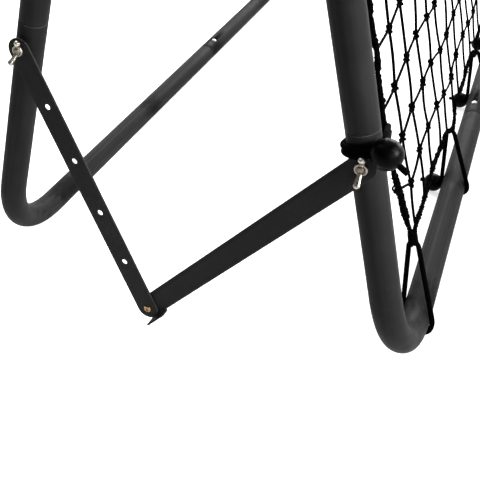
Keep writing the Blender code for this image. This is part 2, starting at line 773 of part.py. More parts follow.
def clip_outline():
    """Outline of the spring clip's bent strip as (along the tube, across it)."""
    radius = CLIP_DEPTH / 2
    outer = [(CLIP_LIP, radius), (-CLIP_LENGTH + radius, radius)]
    inner = [(-CLIP_LENGTH + radius, -radius + CLIP_PLATE), (CLIP_RETURN, -radius * CLIP_SPREAD + CLIP_PLATE)]
    bend = []
    for step in range(1, 6):
        angle = math.pi / 2 + math.pi * step / 6
        bend.append((-CLIP_LENGTH + radius + radius * math.cos(angle), radius * math.sin(angle)))
    back = []
    thin = radius - CLIP_PLATE
    for step in range(5, 0, -1):
        angle = math.pi / 2 + math.pi * step / 6
        back.append((-CLIP_LENGTH + radius + thin * math.cos(angle), thin * math.sin(angle)))
    lower = [(-CLIP_LENGTH + radius, -radius), (CLIP_RETURN, -radius * CLIP_SPREAD)]
    return outer + bend + lower + inner[::-1] + back + [(-CLIP_LENGTH + radius, thin), (CLIP_LIP, thin)]


def add_button(builder, name, parent, x, rail_z, inward):
    """Add a spring button inside a rail joint, pointing to the inside of the frame."""
    radius = BUTTON_DIAMETER / 2
    clip_top = NECK_RADIUS * math.cos(math.pi / TUBE_SIDES) - TUBE_WALL - CLIP_CLEARANCE
    base = clip_top - CLIP_PLATE / 2
    top = TUBE_RADIUS + BUTTON_STAND_OUT
    profile = (
        (0.0, base),
        (radius, base),
        (radius, top - 0.0016),
        (radius * 0.75, top - 0.0005),
        (0.0, top),
    )
    pin = turned(name, profile, axis="Z")
    strip = plate(f"{name}_clip", [clip_outline()], CLIP_WIDTH, axis="Z")
    strip.transform(Matrix(((1, 0, 0, 0), (0, 0, 1, 0), (0, 1, 0, clip_top - CLIP_DEPTH / 2), (0, 0, 0, 1))))
    if inward < 0:
        for mesh in (pin, strip):
            mesh.transform(Matrix.Rotation(math.pi, 4, "X"))
    item = builder.part(name, pin, "zinc", parent, (x, 0.0, rail_z))
    combine(item, builder.tool(f"{name}_clip", strip, parent, (x, 0.0, rail_z)), "UNION")
    return item


def add_net_frame(builder, frame):
    """Add the closed net frame: four bent corners and two uprights."""
    half, rise = FRAME_WIDTH / 2, FRAME_RISE
    far_rail = FRAME_WIDTH - NET_RAIL_JOINT
    up, down, right, left = (0, 0, 1), (0, 0, -1), (1, 0, 0), (-1, 0, 0)
    joint = NET_UPRIGHT_JOINT
    pieces = {
        "net_lower_corner_near": bent_tube((-half, 0, 0), (up, joint, True), (right, NET_RAIL_JOINT, True)),
        "net_lower_corner_far": bent_tube((half, 0, 0), (left, far_rail, False), (up, joint, True)),
        "net_upright_far": straight_tube((half, 0, joint), (half, 0, rise - joint)),
        "net_top_corner_far": bent_tube((half, 0, rise), (down, joint, True), (left, far_rail, False)),
        "net_top_corner_near": bent_tube((-half, 0, rise), (right, NET_RAIL_JOINT, True), (down, joint, True)),
        "net_upright_near": straight_tube((-half, 0, rise - joint), (-half, 0, joint)),
    }
    return {name: add_tube(builder, name, frame, stations, 0.0) for name, stations in pieces.items()}


def add_support_frame(builder, frame, length, lean):
    """Add the open support frame: two bent corners and two uprights, hung from the hinge at its origin."""
    half = FRAME_WIDTH / 2
    far_rail = FRAME_WIDTH - SUPPORT_RAIL_JOINT
    up, right, left = (0, 0, 1), (1, 0, 0), (-1, 0, 0)
    joint = SUPPORT_UPRIGHT_JOINT
    pieces = {
        "support_lower_corner_near": bent_tube((-half, 0, -length), (up, joint, True), (right, SUPPORT_RAIL_JOINT, True)),
        "support_lower_corner_far": bent_tube((half, 0, -length), (left, far_rail, False), (up, joint, True)),
        "support_upright_near": straight_tube((-half, 0, SUPPORT_TOP_MARGIN), (-half, 0, joint - length)),
        "support_upright_far": straight_tube((half, 0, joint - length), (half, 0, SUPPORT_TOP_MARGIN)),
    }
    return {name: add_tube(builder, name, frame, stations, -lean) for name, stations in pieces.items()}


def drill(builder, items, name, radius, location, axis, parent):
    """Drill one round hole through one or more tubes."""
    cutter = builder.tool(name, cylinder(name, radius, 3 * TUBE_DIAMETER, axis=axis), parent, location)
    for item in items:
        combine(item, cutter, "DIFFERENCE")


def add_buttons(builder, net_frame, support_frame, net, support, length):
    """Add the spring buttons of the three rail joints and drill their holes."""
    half = FRAME_WIDTH / 2
    net_x = NET_RAIL_JOINT + BUTTON_SETBACK - half
    support_x = SUPPORT_RAIL_JOINT + BUTTON_SETBACK - half
    joints = (
        ("net_bottom", net_frame, net, "net_lower_corner", net_x, 0.0, 1),
        ("net_top", net_frame, net, "net_top_corner", net_x, FRAME_RISE, -1),
        ("support_bottom", support_frame, support, "support_lower_corner", support_x, -length, 1),
    )
    radius = BUTTON_DIAMETER / 2 + BOLT_CLEARANCE
    for label, frame, tubes, corner, x, z, inward in joints:
        hole = cylinder(f"{label}_button_hole", radius, TUBE_DIAMETER, axis="Z")
        cutter = builder.tool(f"{label}_button_hole", hole, frame, (x, 0.0, z + inward * TUBE_RADIUS))
        for side in ("near", "far"):
            combine(tubes[f"{corner}_{side}"], cutter, "DIFFERENCE")
        add_button(builder, f"{label}_button", frame, x, z, inward)


def add_stays(builder, net_frame, support_frame, net, support, length, support_lean):
    """Add both sides' stays with their bolts, spacers, wing nuts and rivets."""
    net_bolt = Vector((0.0, NET_STAY_HEIGHT * math.sin(NET_LEAN), NET_STAY_HEIGHT * math.cos(NET_LEAN)))
    net_bolt += Vector((0.0, NET_FOOT_Y, NET_FOOT_HEIGHT))
    foot = Vector((0.0, SUPPORT_FOOT_Y, SUPPORT_FOOT_HEIGHT))
    support_bolt = foot + SUPPORT_STAY_HEIGHT * Vector((0.0, -math.sin(support_lean), math.cos(support_lean)))
    rivet = stay_rivet_point(net_bolt, support_bolt)
    hole = WING_BOLT_DIAMETER / 2 + BOLT_CLEARANCE
    row = range(STAY_HOLE_SPACES + 1)
    ends = (row[0], row[-1])
    kinds = (
        ("net", net_frame, net, NET_STAY_HEIGHT, -NET_LEAN, net_bolt, NET_STAY_INNER, ends),
        ("support", support_frame, support, SUPPORT_STAY_HEIGHT - length, support_lean, support_bolt,
         SUPPORT_STAY_INNER, row),
    )
    for label, frame, tubes, height, lean, bolt_at, inner, marks in kinds:
        turn = direction_turn(bolt_at, rivet) - lean
        nut_seat = inner + STAY_PLATE + CONTACT_GAP
        for side_name, side in (("near", -1), ("far", 1)):
            x = side * FRAME_WIDTH / 2
            leg = [tubes[f"{label}_lower_corner_{side_name}"], tubes[f"{label}_upright_{side_name}"]]
            drill(builder, leg, f"{label}_{side_name}_bolt_hole", hole, (x, 0.0, height), "X", frame)
            stay = stay_mesh(f"{label}_stay_{side_name}", marks)
            place = (x + side * (inner + STAY_PLATE / 2), 0.0, height)
            item = builder.part(f"{label}_stay_{side_name}", stay, "stay_black", frame, place, turn)
            if label == "net":
                for tool_name, mesh in zip(("root", "lip"), stop_meshes("stop")):
                    mesh = mirrored(mesh) if side < 0 else mesh
                    tool = builder.tool(f"stop_{tool_name}_{side_name}", mesh, frame, place, turn)
                    combine(item, tool, "UNION")
            spacer_profile = (
                (SPACER_DIAMETER / 2, inner - CONTACT_GAP),
                (SPACER_DIAMETER / 2, SPACER_SEAT),
                (hole, SPACER_SEAT),
                (hole, inner - CONTACT_GAP),
            )
            bolt = bolt_profile(WING_BOLT_DIAMETER / 2, WING_BOLT_HEAD_DIAMETER / 2, WING_BOLT_HEAD_HEIGHT,
                                -TUBE_RADIUS - CONTACT_GAP, nut_seat + WING_NUT_HEIGHT + WING_BOLT_END)
            for piece, profile, finish in (("spacer", spacer_profile, "zinc"), ("wing_bolt", bolt, "zinc")):
                mesh = turned(piece, profile)
                mesh = mirrored(mesh) if side < 0 else mesh
                builder.part(f"{label}_{piece}_{side_name}", mesh, finish, frame, (x, 0.0, height))
            nut_place = (x + side * nut_seat, 0.0, height)
            add_wing_nut(builder, f"{label}_wing_nut_{side_name}", frame, nut_place, side, WING_NUT_TURN)
            if label == "support":
                add_stay_rivet(builder, side_name, side, frame, place, turn)


def add_stay_rivet(builder, side_name, side, frame, stay_place, turn):
    """Add the hollow rivet at the end of the outer stay."""
    shank, bore = RIVET_SHANK_DIAMETER / 2, RIVET_BORE_DIAMETER / 2
    face = STAY_PLATE / 2 + CONTACT_GAP
    profile = (
        (shank, -STAY_PLATE / 2),
        (shank, face),
        (RIVET_HEAD_DIAMETER / 2, face),
        (RIVET_HEAD_DIAMETER / 2 - 0.0005, face + RIVET_HEAD_HEIGHT),
        (bore, face + RIVET_HEAD_HEIGHT - 0.0003),
        (bore, -STAY_PLATE / 2),
    )
    mesh = turned("rivet", profile)
    mesh = mirrored(mesh) if side < 0 else mesh
    away = Euler((turn, 0.0, 0.0)).to_matrix() @ Vector((0.0, 0.0, STAY_LENGTH))
    builder.part(f"stay_rivet_{side_name}", mesh, "brass", frame, Vector(stay_place) + away)


def bracket_outline():
    """Outline of the hinge bracket round the net upright, as (across, back)."""
    inner = TUBE_RADIUS + CONTACT_GAP
    outer = inner + BRACKET_PLATE
    back = HINGE_OFFSET + BRACKET_MARGIN
    half_sides = TUBE_SIDES // 2
    angles = [0.0] + [math.pi * (k + 0.5) / half_sides for k in range(half_sides)] + [math.pi]
    outside = [(outer * math.cos(a), -outer * math.sin(a)) for a in angles]
    inside = [(inner * math.cos(a), -inner * math.sin(a)) for a in reversed(angles)]
    return [(outer, back)] + outside + [(-outer, back), (-inner, back)] + inside + [(inner, back)]


def bracket_mesh(name):
    """Make the bracket and round off the corners of its two ears."""
    mesh = plate(name, [bracket_outline()], BRACKET_HEIGHT, axis="Z")
    shape = bmesh.new()
    shape.from_mesh(mesh)
    back = HINGE_OFFSET + BRACKET_MARGIN - 0.0001
    corners = [
        edge for edge in shape.edges
        if all(vert.co.y > back for vert in edge.verts)
        and abs(edge.verts[0].co.z - edge.verts[1].co.z) < 0.0001
        and abs(abs(edge.verts[0].co.z) - BRACKET_HEIGHT / 2) < 0.0001
    ]
    bmesh.ops.bevel(shape, geom=corners, offset=BRACKET_CORNER, segments=3, profile=0.5, affect="EDGES")
    return mesh_from_bmesh(name, shape)


def add_hinges(builder, net_frame, support_frame, net, support):
    """Add the hinge brackets with their rivets, bolts and nuts, and the end caps of the support frame."""
    bolt_radius = HINGE_BOLT_DIAMETER / 2
    ear_face = TUBE_RADIUS + 2 * CONTACT_GAP + BRACKET_PLATE
    rivet_radius = BRACKET_RIVET_DIAMETER / 2
    for side_name, side in (("near", -1), ("far", 1)):
        x = side * FRAME_WIDTH / 2
        place = (x, 0.0, HINGE_HEIGHT)
        pivot = (x, HINGE_OFFSET, HINGE_HEIGHT)
        bracket = builder.part(f"hinge_bracket_{side_name}", bracket_mesh("bracket"), "stay_black", net_frame, place)
        holes = [bracket, net[f"net_top_corner_{side_name}"]]
        drill(builder, holes, f"bracket_rivet_hole_{side_name}", rivet_radius + BOLT_CLEARANCE, place, "X", net_frame)
        drill(builder, [bracket], f"hinge_hole_{side_name}", bolt_radius + BOLT_CLEARANCE, pivot, "X", net_frame)
        drill(builder, [support[f"support_upright_{side_name}"]], f"support_hinge_hole_{side_name}",
              bolt_radius + BOLT_CLEARANCE, (x, 0.0, 0.0), "X", support_frame)
        head = BRACKET_RIVET_HEAD_DIAMETER / 2
        crown = ear_face + BRACKET_RIVET_HEAD_HEIGHT
        profile = (
            (0.0, -crown), (head * 0.6, -crown + 0.0008), (head, -ear_face), (rivet_radius, -ear_face),
            (rivet_radius, ear_face), (head, ear_face), (head * 0.6, crown - 0.0008), (0.0, crown),
        )
        builder.part(f"bracket_rivet_{side_name}", turned("bracket_rivet", profile), "stay_black", net_frame, place)
        nut_end = ear_face + HINGE_NUT_HEIGHT
        shank = cylinder("hinge_bolt", bolt_radius, ear_face + nut_end + HINGE_BOLT_END)
        shank.transform(Matrix.Translation(((ear_face - nut_end - HINGE_BOLT_END) / 2, 0.0, 0.0)))
        head_mesh = hex_prism("head", HINGE_BOLT_HEAD_WIDTH, HINGE_BOLT_HEAD_HEIGHT, ear_face)
        nut = hex_prism("nut", HINGE_BOLT_HEAD_WIDTH, HINGE_NUT_HEIGHT, -nut_end)
        if side < 0:
            shank, head_mesh, nut = mirrored(shank), mirrored(head_mesh), mirrored(nut)
        bolt = builder.part(f"hinge_bolt_{side_name}", shank, "zinc", net_frame, pivot)
        combine(bolt, builder.tool(f"hinge_bolt_head_{side_name}", head_mesh, net_frame, pivot), "UNION")
        nut_item = builder.part(f"hinge_nut_{side_name}", nut, "zinc", net_frame, pivot)
        drill(builder, [nut_item], f"hinge_nut_hole_{side_name}", bolt_radius + BOLT_CLEARANCE, pivot, "X", net_frame)
        cap_profile = (
            (0.0, SUPPORT_TOP_MARGIN + CONTACT_GAP + CAP_THICKNESS + CAP_CROWN),
            (TUBE_RADIUS * 0.7, SUPPORT_TOP_MARGIN + CONTACT_GAP + CAP_THICKNESS + CAP_CROWN * 0.6),
            (TUBE_RADIUS, SUPPORT_TOP_MARGIN + CONTACT_GAP + CAP_THICKNESS * 0.5),
            (TUBE_RADIUS, SUPPORT_TOP_MARGIN + CONTACT_GAP),
            (NECK_RADIUS - CONTACT_GAP, SUPPORT_TOP_MARGIN + CONTACT_GAP),
            (NECK_RADIUS - CONTACT_GAP, SUPPORT_TOP_MARGIN - CAP_INSERT_LENGTH),
            (0.0, SUPPORT_TOP_MARGIN - CAP_INSERT_LENGTH),
        )
        cap = turned("cap", cap_profile, steps=TUBE_SIDES, axis="Z")
        builder.part(f"support_end_cap_{side_name}", cap, "plastic_black", support_frame, (x, 0.0, 0.0))


def main():
    """Build the rebounder."""
    clear_scene()
    builder = Builder("soccer_rebounder")
    foot = Vector((0.0, NET_FOOT_Y, NET_FOOT_HEIGHT))
    net_frame = builder.origin("net_frame_origin", foot, -NET_LEAN)
    up = Vector((0.0, math.sin(NET_LEAN), math.cos(NET_LEAN)))
    back = Vector((0.0, math.cos(NET_LEAN), -math.sin(NET_LEAN)))
    hinge = foot + up * HINGE_HEIGHT + back * HINGE_OFFSET
    leg = Vector((0.0, SUPPORT_FOOT_Y, SUPPORT_FOOT_HEIGHT)) - hinge
    support_lean = math.atan2(leg.y, -leg.z)
    support_frame = builder.origin("support_hinge_origin", hinge, support_lean)
    net = add_net_frame(builder, net_frame)
    support = add_support_frame(builder, support_frame, leg.length, support_lean)
    add_buttons(builder, net_frame, support_frame, net, support, leg.length)
    add_hinges(builder, net_frame, support_frame, net, support)
    add_stays(builder, net_frame, support_frame, net, support, leg.length, support_lean)
    route = rope_route()
    rope = cord_curve("border_rope", [[(x, 0.0, z) for x, z in route]], [], ROPE_DIAMETER)
    builder.part("border_rope", rope, "net_black", net_frame)
    builder.part("net", net_mesh(route), "net_black", net_frame)
    add_rail_bungees(builder, net_frame, route)
    add_side_bungees(builder, net_frame, route)


main()
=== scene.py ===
"""Looks of the soccer rebounder: detailed pieces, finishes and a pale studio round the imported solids.

World frame in metres: X along the frames with the near side at -X, +Y from the net frame to the support
frame, +Z up. Each tube frame is drawn in a leaning frame of its own: x along it, y out of its plane and z up
its uprights.
"""

import logging
import math
from dataclasses import dataclass, field
from enum import Enum
from typing import Callable, Sequence

import bmesh
import bpy
import numpy as np
from mathutils import Matrix, Vector, geometry


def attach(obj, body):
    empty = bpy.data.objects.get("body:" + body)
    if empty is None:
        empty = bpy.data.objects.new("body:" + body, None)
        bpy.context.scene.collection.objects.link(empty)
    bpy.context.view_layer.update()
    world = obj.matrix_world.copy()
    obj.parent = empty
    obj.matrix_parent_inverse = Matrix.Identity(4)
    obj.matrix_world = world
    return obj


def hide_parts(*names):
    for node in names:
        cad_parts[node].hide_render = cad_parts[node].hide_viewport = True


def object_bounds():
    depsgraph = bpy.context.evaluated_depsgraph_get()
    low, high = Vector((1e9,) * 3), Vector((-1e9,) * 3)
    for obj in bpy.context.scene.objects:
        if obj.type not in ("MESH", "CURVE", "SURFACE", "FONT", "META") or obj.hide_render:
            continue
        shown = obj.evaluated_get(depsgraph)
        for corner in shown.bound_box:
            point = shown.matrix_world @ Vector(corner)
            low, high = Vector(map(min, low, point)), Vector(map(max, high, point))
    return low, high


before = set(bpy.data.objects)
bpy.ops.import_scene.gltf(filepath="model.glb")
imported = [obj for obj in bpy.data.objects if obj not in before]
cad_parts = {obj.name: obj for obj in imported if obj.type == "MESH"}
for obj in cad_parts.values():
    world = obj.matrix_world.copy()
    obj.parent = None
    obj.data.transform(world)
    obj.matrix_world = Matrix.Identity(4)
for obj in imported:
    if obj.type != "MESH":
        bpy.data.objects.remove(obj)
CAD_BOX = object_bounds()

log = logging.getLogger("rebounder")

# Kinds of value that many functions take or give
Array = np.ndarray
Triple = Sequence[float] | Array
Pair = tuple[Array, Array]
Profile = Sequence[tuple[float, float]]
Socket = bpy.types.NodeSocket
Value = Socket | float | Sequence[float]

# Directions
X_AXIS, Y_AXIS, Z_AXIS = (1.0, 0.0, 0.0), (0.0, 1.0, 0.0), (0.0, 0.0, 1.0)

# Tube and joints
TUBE_RADIUS = 0.015
TUBE_WALL = 0.0012
NECK_GAP = 0.0003
NECK_RADIUS = TUBE_RADIUS - TUBE_WALL - NECK_GAP
NECK_LENGTH = 0.045
BEND_RADIUS = 0.108

# Frames, measured between tube axes
HALF_WIDTH = 0.650
FRAME_RISE = 1.000
NET_LEAN = math.radians(15.55)
NET_FOOT = (-0.2361, 0.0217289)
SUPPORT_FOOT = (0.2419, 0.0144889)
HINGE_HEIGHT = 0.876
HINGE_OFFSET = 0.054
SUPPORT_TOP = 0.013
NET_UPRIGHT_JOINT = 0.2875
NET_RAIL_JOINT = 0.584
SUPPORT_UPRIGHT_JOINT = 0.3266
SUPPORT_RAIL_JOINT = 0.630

# Stays and their fasteners
STAY_LENGTH = 0.320
STAY_SPACES = 5
STAY_WIDTH = 0.0254
STAY_PLATE = 0.002
STAY_HOLE_RADIUS = 0.0033
NET_STAY_HEIGHT = 0.259
SUPPORT_STAY_HEIGHT = 0.300
CONTACT_GAP = 0.0003
WASHER = 0.001
NET_STAY_INNER = TUBE_RADIUS + 2 * CONTACT_GAP + WASHER
SUPPORT_STAY_INNER = NET_STAY_INNER + STAY_PLATE + CONTACT_GAP

# Rope, net and bungees
ROPE_RADIUS = 0.0035
CORD_RADIUS = 0.00275
BALL_RADIUS = 0.01275
CORD_SINK = 0.0001
CORD_ON_TUBE = TUBE_RADIUS + CORD_RADIUS - CORD_SINK

# Values of the wrapped map that mark a look: from EDGE_MARK on, powder coat is mixed lighter as a painted
# highlight, and metal is dull at
# DULL_AND_SHADE_MARK, where the rivets' bores also get painted shade, and bright at BRIGHT_MARK
EDGE_MARK = 10.0
BRIGHT_MARK, DULL_AND_SHADE_MARK = 1.0, 2.0
SEAM_STEP = 0.001


class Side(Enum):
    """Near side at -X or far side at +X."""

    NEAR = -1
    FAR = 1

    @property
    def label(self) -> str:
        """Name of the side as the pieces use it."""
        return self.name.lower()


# Frames and shapes


def unit(vectors: Array) -> Array:
    """Scale vectors to a length of one."""
    return vectors / np.maximum(np.linalg.norm(vectors, axis=-1, keepdims=True), 1e-12)


def round_angles(count: int) -> Array:
    """Even angles round a full turn, starting at 0."""
    return 2.0 * np.pi * np.arange(count) / count


@dataclass(frozen=True)
class LeaningFrame:
    """A frame turned about a line along X: origin as (y, z) and the turn in radians."""

    origin: tuple[float, float]
    turn: float

    def place(self, points: Array) -> Array:
        """Carry points from the frame to the world.

        Args:
            points: Array of (..., 3) places in the frame.

        Returns:
            Places turned about X by the frame's turn and moved to its origin.
        """
        c, s = math.cos(self.turn), math.sin(self.turn)
        x, y, z = np.moveaxis(np.asarray(points, float), -1, 0)
        return np.stack([x, self.origin[0] + y * c - z * s, self.origin[1] + y * s + z * c], axis=-1)

    def spot(self, x: float, y: float, z: float) -> Array:
        """Carry one place from the frame to the world."""
        return self.place(np.array([x, y, z]))

    def direction(self, vector: Triple) -> Array:
        """Turn one direction from the frame to the world."""
        return self.place(vector) - self.place(np.zeros(3))


NET_PLANE = LeaningFrame(NET_FOOT, -NET_LEAN)
HINGE = tuple(NET_PLANE.spot(0.0, HINGE_OFFSET, HINGE_HEIGHT)[1:])
SUPPORT_LEAN = math.atan2(SUPPORT_FOOT[0] - HINGE[0], HINGE[1] - SUPPORT_FOOT[1])
SUPPORT_LENGTH = math.hypot(SUPPORT_FOOT[0] - HINGE[0], HINGE[1] - SUPPORT_FOOT[1])
SUPPORT_PLANE = LeaningFrame(HINGE, SUPPORT_LEAN)


class Surface:
    """Gathers grids of points into one closed mesh with a UV map of (around, along in metres)."""

    def __init__(self) -> None:
        """Start with no vertices and no faces."""
        self.points: list[Array] = []
        self.faces: list[Array] = []
        self.maps: list[Array] = []
        self.count = 0

    def grid(
        self, points: Array, close_u: bool = False, close_v: bool = True, caps: bool = False,
        along: Array | None = None, flip: bool = False,
    ) -> "Surface":
        """Add grids whose rows are u and columns v, with quads between them.

        Args:
            points: Array of (..., U, V, 3); leading axes are separate grids.
            close_u: Join the last row to the first.
            close_v: Join the last column to the first.
            caps: Close the first and last rows with fans to their centres.
            along: Map value of each row, (..., U); arc length through the rows' middles if left out.
            flip: Turn the faces round.

        Returns:
            This surface.
        """
        u, v = points.shape[-3:-1]
        batch = points.reshape(-1, u, v, 3)
        number = len(batch)
        if along is None:
            steps = np.linalg.norm(np.diff(batch.mean(axis=2), axis=1), axis=-1)
            along = np.concatenate([np.zeros((number, 1)), np.cumsum(steps, axis=1)], axis=1)
        along = np.broadcast_to(np.asarray(along, float).reshape(-1, u), (number, u))
        rows = np.arange(u if close_u else u - 1)
        columns = np.arange(v if close_v else v - 1)
        b, i, j = (a.ravel() for a in np.meshgrid(np.arange(number), rows, columns, indexing="ij"))
        start, next_i, next_j = self.count, (i + 1) % u, (j + 1) % v
        row, next_row = start + (b * u + i) * v, start + (b * u + next_i) * v
        quads = np.stack([row + j, row + next_j, next_row + next_j, next_row + j], axis=1)
        around = np.stack([j, j + 1, j + 1, j], axis=1) / v
        far_along = np.where(i + 1 < u, along[b, next_i], along[b, i] + SEAM_STEP)
        height = np.stack([along[b, i], along[b, i], far_along, far_along], axis=1)
        self._keep(batch.reshape(-1, 3), quads, np.stack([around, height], axis=-1), flip)
        if caps:
            self._fan(batch[:, 0], start, u * v, along[:, 0], not flip)
            self._fan(batch[:, -1], start + (u - 1) * v, u * v, along[:, -1], flip)
        return self

    def _fan(self, rings: Array, start: int, size: int, along: Array, flip: bool) -> None:
        """Close each ring with triangles to its centre.

        Args:
            rings: Array of (grids, V, 3).
            start: Number of the first ring's first vertex.
            size: Vertices in a grid.
            along: Map value of each ring.
            flip: Turn the faces round.
        """
        number, v = rings.shape[:2]
        b, j = (a.ravel() for a in np.meshgrid(np.arange(number), np.arange(v), indexing="ij"))
        first = start + b * size
        tris = np.stack([self.count + b, first + j, first + (j + 1) % v], axis=1)
        around = np.stack([j + 0.5, j, j + 1], axis=1) / v
        height = np.repeat(along[b][:, None], 3, axis=1)
        self._keep(rings.mean(axis=1), tris, np.stack([around, height], axis=-1), flip)

    def _keep(self, points: Array, faces: Array, spots: Array, flip: bool) -> None:
        """Store vertices, faces and their map places.

        Args:
            points: Array of (N, 3).
            faces: Numbers of each face's vertices.
            spots: Map places of each face's corners.
            flip: Turn the faces round.
        """
        self.points.append(points)
        self.faces.append(faces[:, ::-1] if flip else faces)
        self.maps.append(spots[:, ::-1] if flip else spots)
        self.count += len(points)

    def mesh(self, name: str, mirror: bool = False, weld: float = 0.0, sharp: float = 40.0) -> bpy.types.Mesh:
        """Write the gathered arrays into a mesh.

        Args:
            name: Name of the mesh.
            mirror: Mirror it in X, with its faces turned out again.
            weld: Distance within which vertices are merged and the faces turned out, or 0.
            sharp: Angle in degrees above which an edge stays crisp.

        Returns:
            The new mesh.
        """
        points = np.concatenate(self.points).astype(np.float32)
        if mirror:
            points[:, 0] *= -1.0
        faces = [f[:, ::-1] if mirror else f for f in self.faces]
        spots = [m[:, ::-1] if mirror else m for m in self.maps]
        sizes = np.concatenate([np.full(len(f), f.shape[1]) for f in faces])
        loops = np.concatenate([f.ravel() for f in faces])
        mesh = bpy.data.meshes.new(name)
        mesh.vertices.add(len(points))
        mesh.vertices.foreach_set("co", points.ravel())
        mesh.loops.add(len(loops))
        mesh.loops.foreach_set("vertex_index", loops.astype(np.int32))
        mesh.polygons.add(len(sizes))
        starts = np.concatenate([[0], np.cumsum(sizes)[:-1]])
        mesh.polygons.foreach_set("loop_start", starts.astype(np.int32))
        layer = mesh.uv_layers.new(name="wrap")
        spots = np.concatenate([m.reshape(-1, 2) for m in spots])
        layer.data.foreach_set("uv", spots.astype(np.float32).ravel())
        mesh.update(calc_edges=True)
        mesh.validate()
        if weld > 0.0:
            shape = bmesh.new()
            shape.from_mesh(mesh)
            bmesh.ops.remove_doubles(shape, verts=shape.verts, dist=weld)
            bmesh.ops.recalc_face_normals(shape, faces=shape.faces)
            shape.to_mesh(mesh)
            shape.free()
        mesh.shade_smooth()
        mesh.set_sharp_from_angle(angle=math.radians(sharp))
        return mesh


def section_axes(path: Array, facing: Triple, closed: bool = False) -> Pair:
    """Give two axes square to a path at each of its points.

    Args:
        path: Array of (..., U, 3).
        facing: Direction that the first axis follows as nearly as it can.
        closed: Whether the path's end meets its start.

    Returns:
        The first axis, nearest to facing, and the second, which is tangent cross first.
    """
    if closed:
        tangent = unit(np.roll(path, -1, axis=-2) - np.roll(path, 1, axis=-2))
    else:
        tangent = unit(np.gradient(path, axis=-2))
    second = unit(np.cross(tangent, np.broadcast_to(np.asarray(facing, float), path.shape)))
    return np.cross(second, tangent), second


def sweep(
    path: Array, radius: float | Array, facing: Triple, sides: int = 24, closed: bool = False
) -> Array:
    """Carry a circle along a path: place = path + radius * (cos a * first + sin a * second).

    Args:
        path: Array of (..., U, 3).
        radius: One radius, one for each point, (..., U), or one for each point and side, (..., U, V).
        facing: Direction from which the angle a is counted.
        sides: Number of sides.
        closed: Whether the path's end meets its start.

    Returns:
        Grid of (..., U, V, 3).
    """
    first, second = section_axes(path, facing, closed)
    angle = round_angles(sides)
    ring = np.cos(angle)[:, None] * first[..., None, :] + np.sin(angle)[:, None] * second[..., None, :]
    radius = np.asarray(radius, float)
    if radius.ndim < path.ndim:
        radius = np.broadcast_to(radius, path.shape[:-1])[..., None]
    return path[..., None, :] + radius[..., None] * ring


def turned(profile: Profile, centre: Triple, axis: Triple = X_AXIS, sides: int = 40) -> Array:
    """Turn a profile about an axis.

    Each place is centre + height * axis + radius * (cos a * first + sin a * second).

    Args:
        profile: Points of (radius, height) from the lower end to the upper.
        centre: Place of height 0.
        axis: Direction of the height.
        sides: Number of sides.

    Returns:
        Grid of (profile points, sides, 3).
    """
    table = np.array(profile, float)
    axis = unit(np.array(axis, float))
    helper = np.array(Z_AXIS if abs(axis[2]) < 0.9 else Y_AXIS)
    first = unit(np.cross(helper, axis))
    second = np.cross(axis, first)
    angle = round_angles(sides)
    ring = np.cos(angle)[:, None] * first + np.sin(angle)[:, None] * second
    return np.asarray(centre, float) + table[:, 1, None, None] * axis + table[:, 0, None, None] * ring[None]


def rounded(profile: Profile, radius: float, steps: int = 4) -> Profile:
    """Round the inner corners of an open profile with quadratic arcs.

    Args:
        profile: Points of (radius, height).
        radius: Distance from a corner at which its arc starts.
        steps: Points on each arc.

    Returns:
        The profile with each inner corner replaced by an arc.
    """
    table = np.array(profile, float)
    before, here, after = table[:-2], table[1:-1], table[2:]
    reach_in = np.minimum(radius, 0.45 * np.linalg.norm(here - before, axis=1))[:, None]
    reach_out = np.minimum(radius, 0.45 * np.linalg.norm(after - here, axis=1))[:, None]
    start = here - unit(here - before) * reach_in
    end = here + unit(after - here) * reach_out
    t = np.linspace(0.0, 1.0, steps)[:, None, None]
    arcs = (1 - t) ** 2 * start + 2 * t * (1 - t) * here + t**2 * end
    middle = np.swapaxes(arcs, 0, 1).reshape(-1, 2)
    return [tuple(p) for p in np.vstack([table[:1], middle, table[-1:]])]


def smooth_noise(places: Array, seed: int, period: float) -> Array:
    """Smooth values from -1 to 1 along one axis, as a sum of four sine waves with seeded phases.

    Args:
        places: Distances along the axis.
        seed: Seed of the phases.
        period: Length of the longest wave.

    Returns:
        One value for each place.
    """
    source = np.random.default_rng(seed)
    phase = source.uniform(0.0, 2.0 * np.pi, 4)
    rate = np.array([1.0, 1.7, 2.9, 4.3])
    weight = np.array([0.5, 0.3, 0.15, 0.05])
    return np.sum(weight * np.sin(2.0 * np.pi * rate * places[..., None] / period + phase), axis=-1)


def resample(points: Array, step: float, closed: bool) -> Pair:
    """Read evenly spaced points from a polyline.

    Args:
        points: Array of (N, D).
        step: Distance between the new points.
        closed: Whether the line closes on itself.

    Returns:
        The new points and their distances along the line.
    """
    line = np.vstack([points, points[:1]]) if closed else points
    lengths = np.concatenate([[0.0], np.cumsum(np.linalg.norm(np.diff(line, axis=0), axis=1))])
    count = max(8, round(lengths[-1] / step))
    marks = np.linspace(0.0, lengths[-1], count, endpoint=not closed)
    return np.stack([np.interp(marks, lengths, line[:, k]) for k in range(line.shape[1])], axis=1), marks


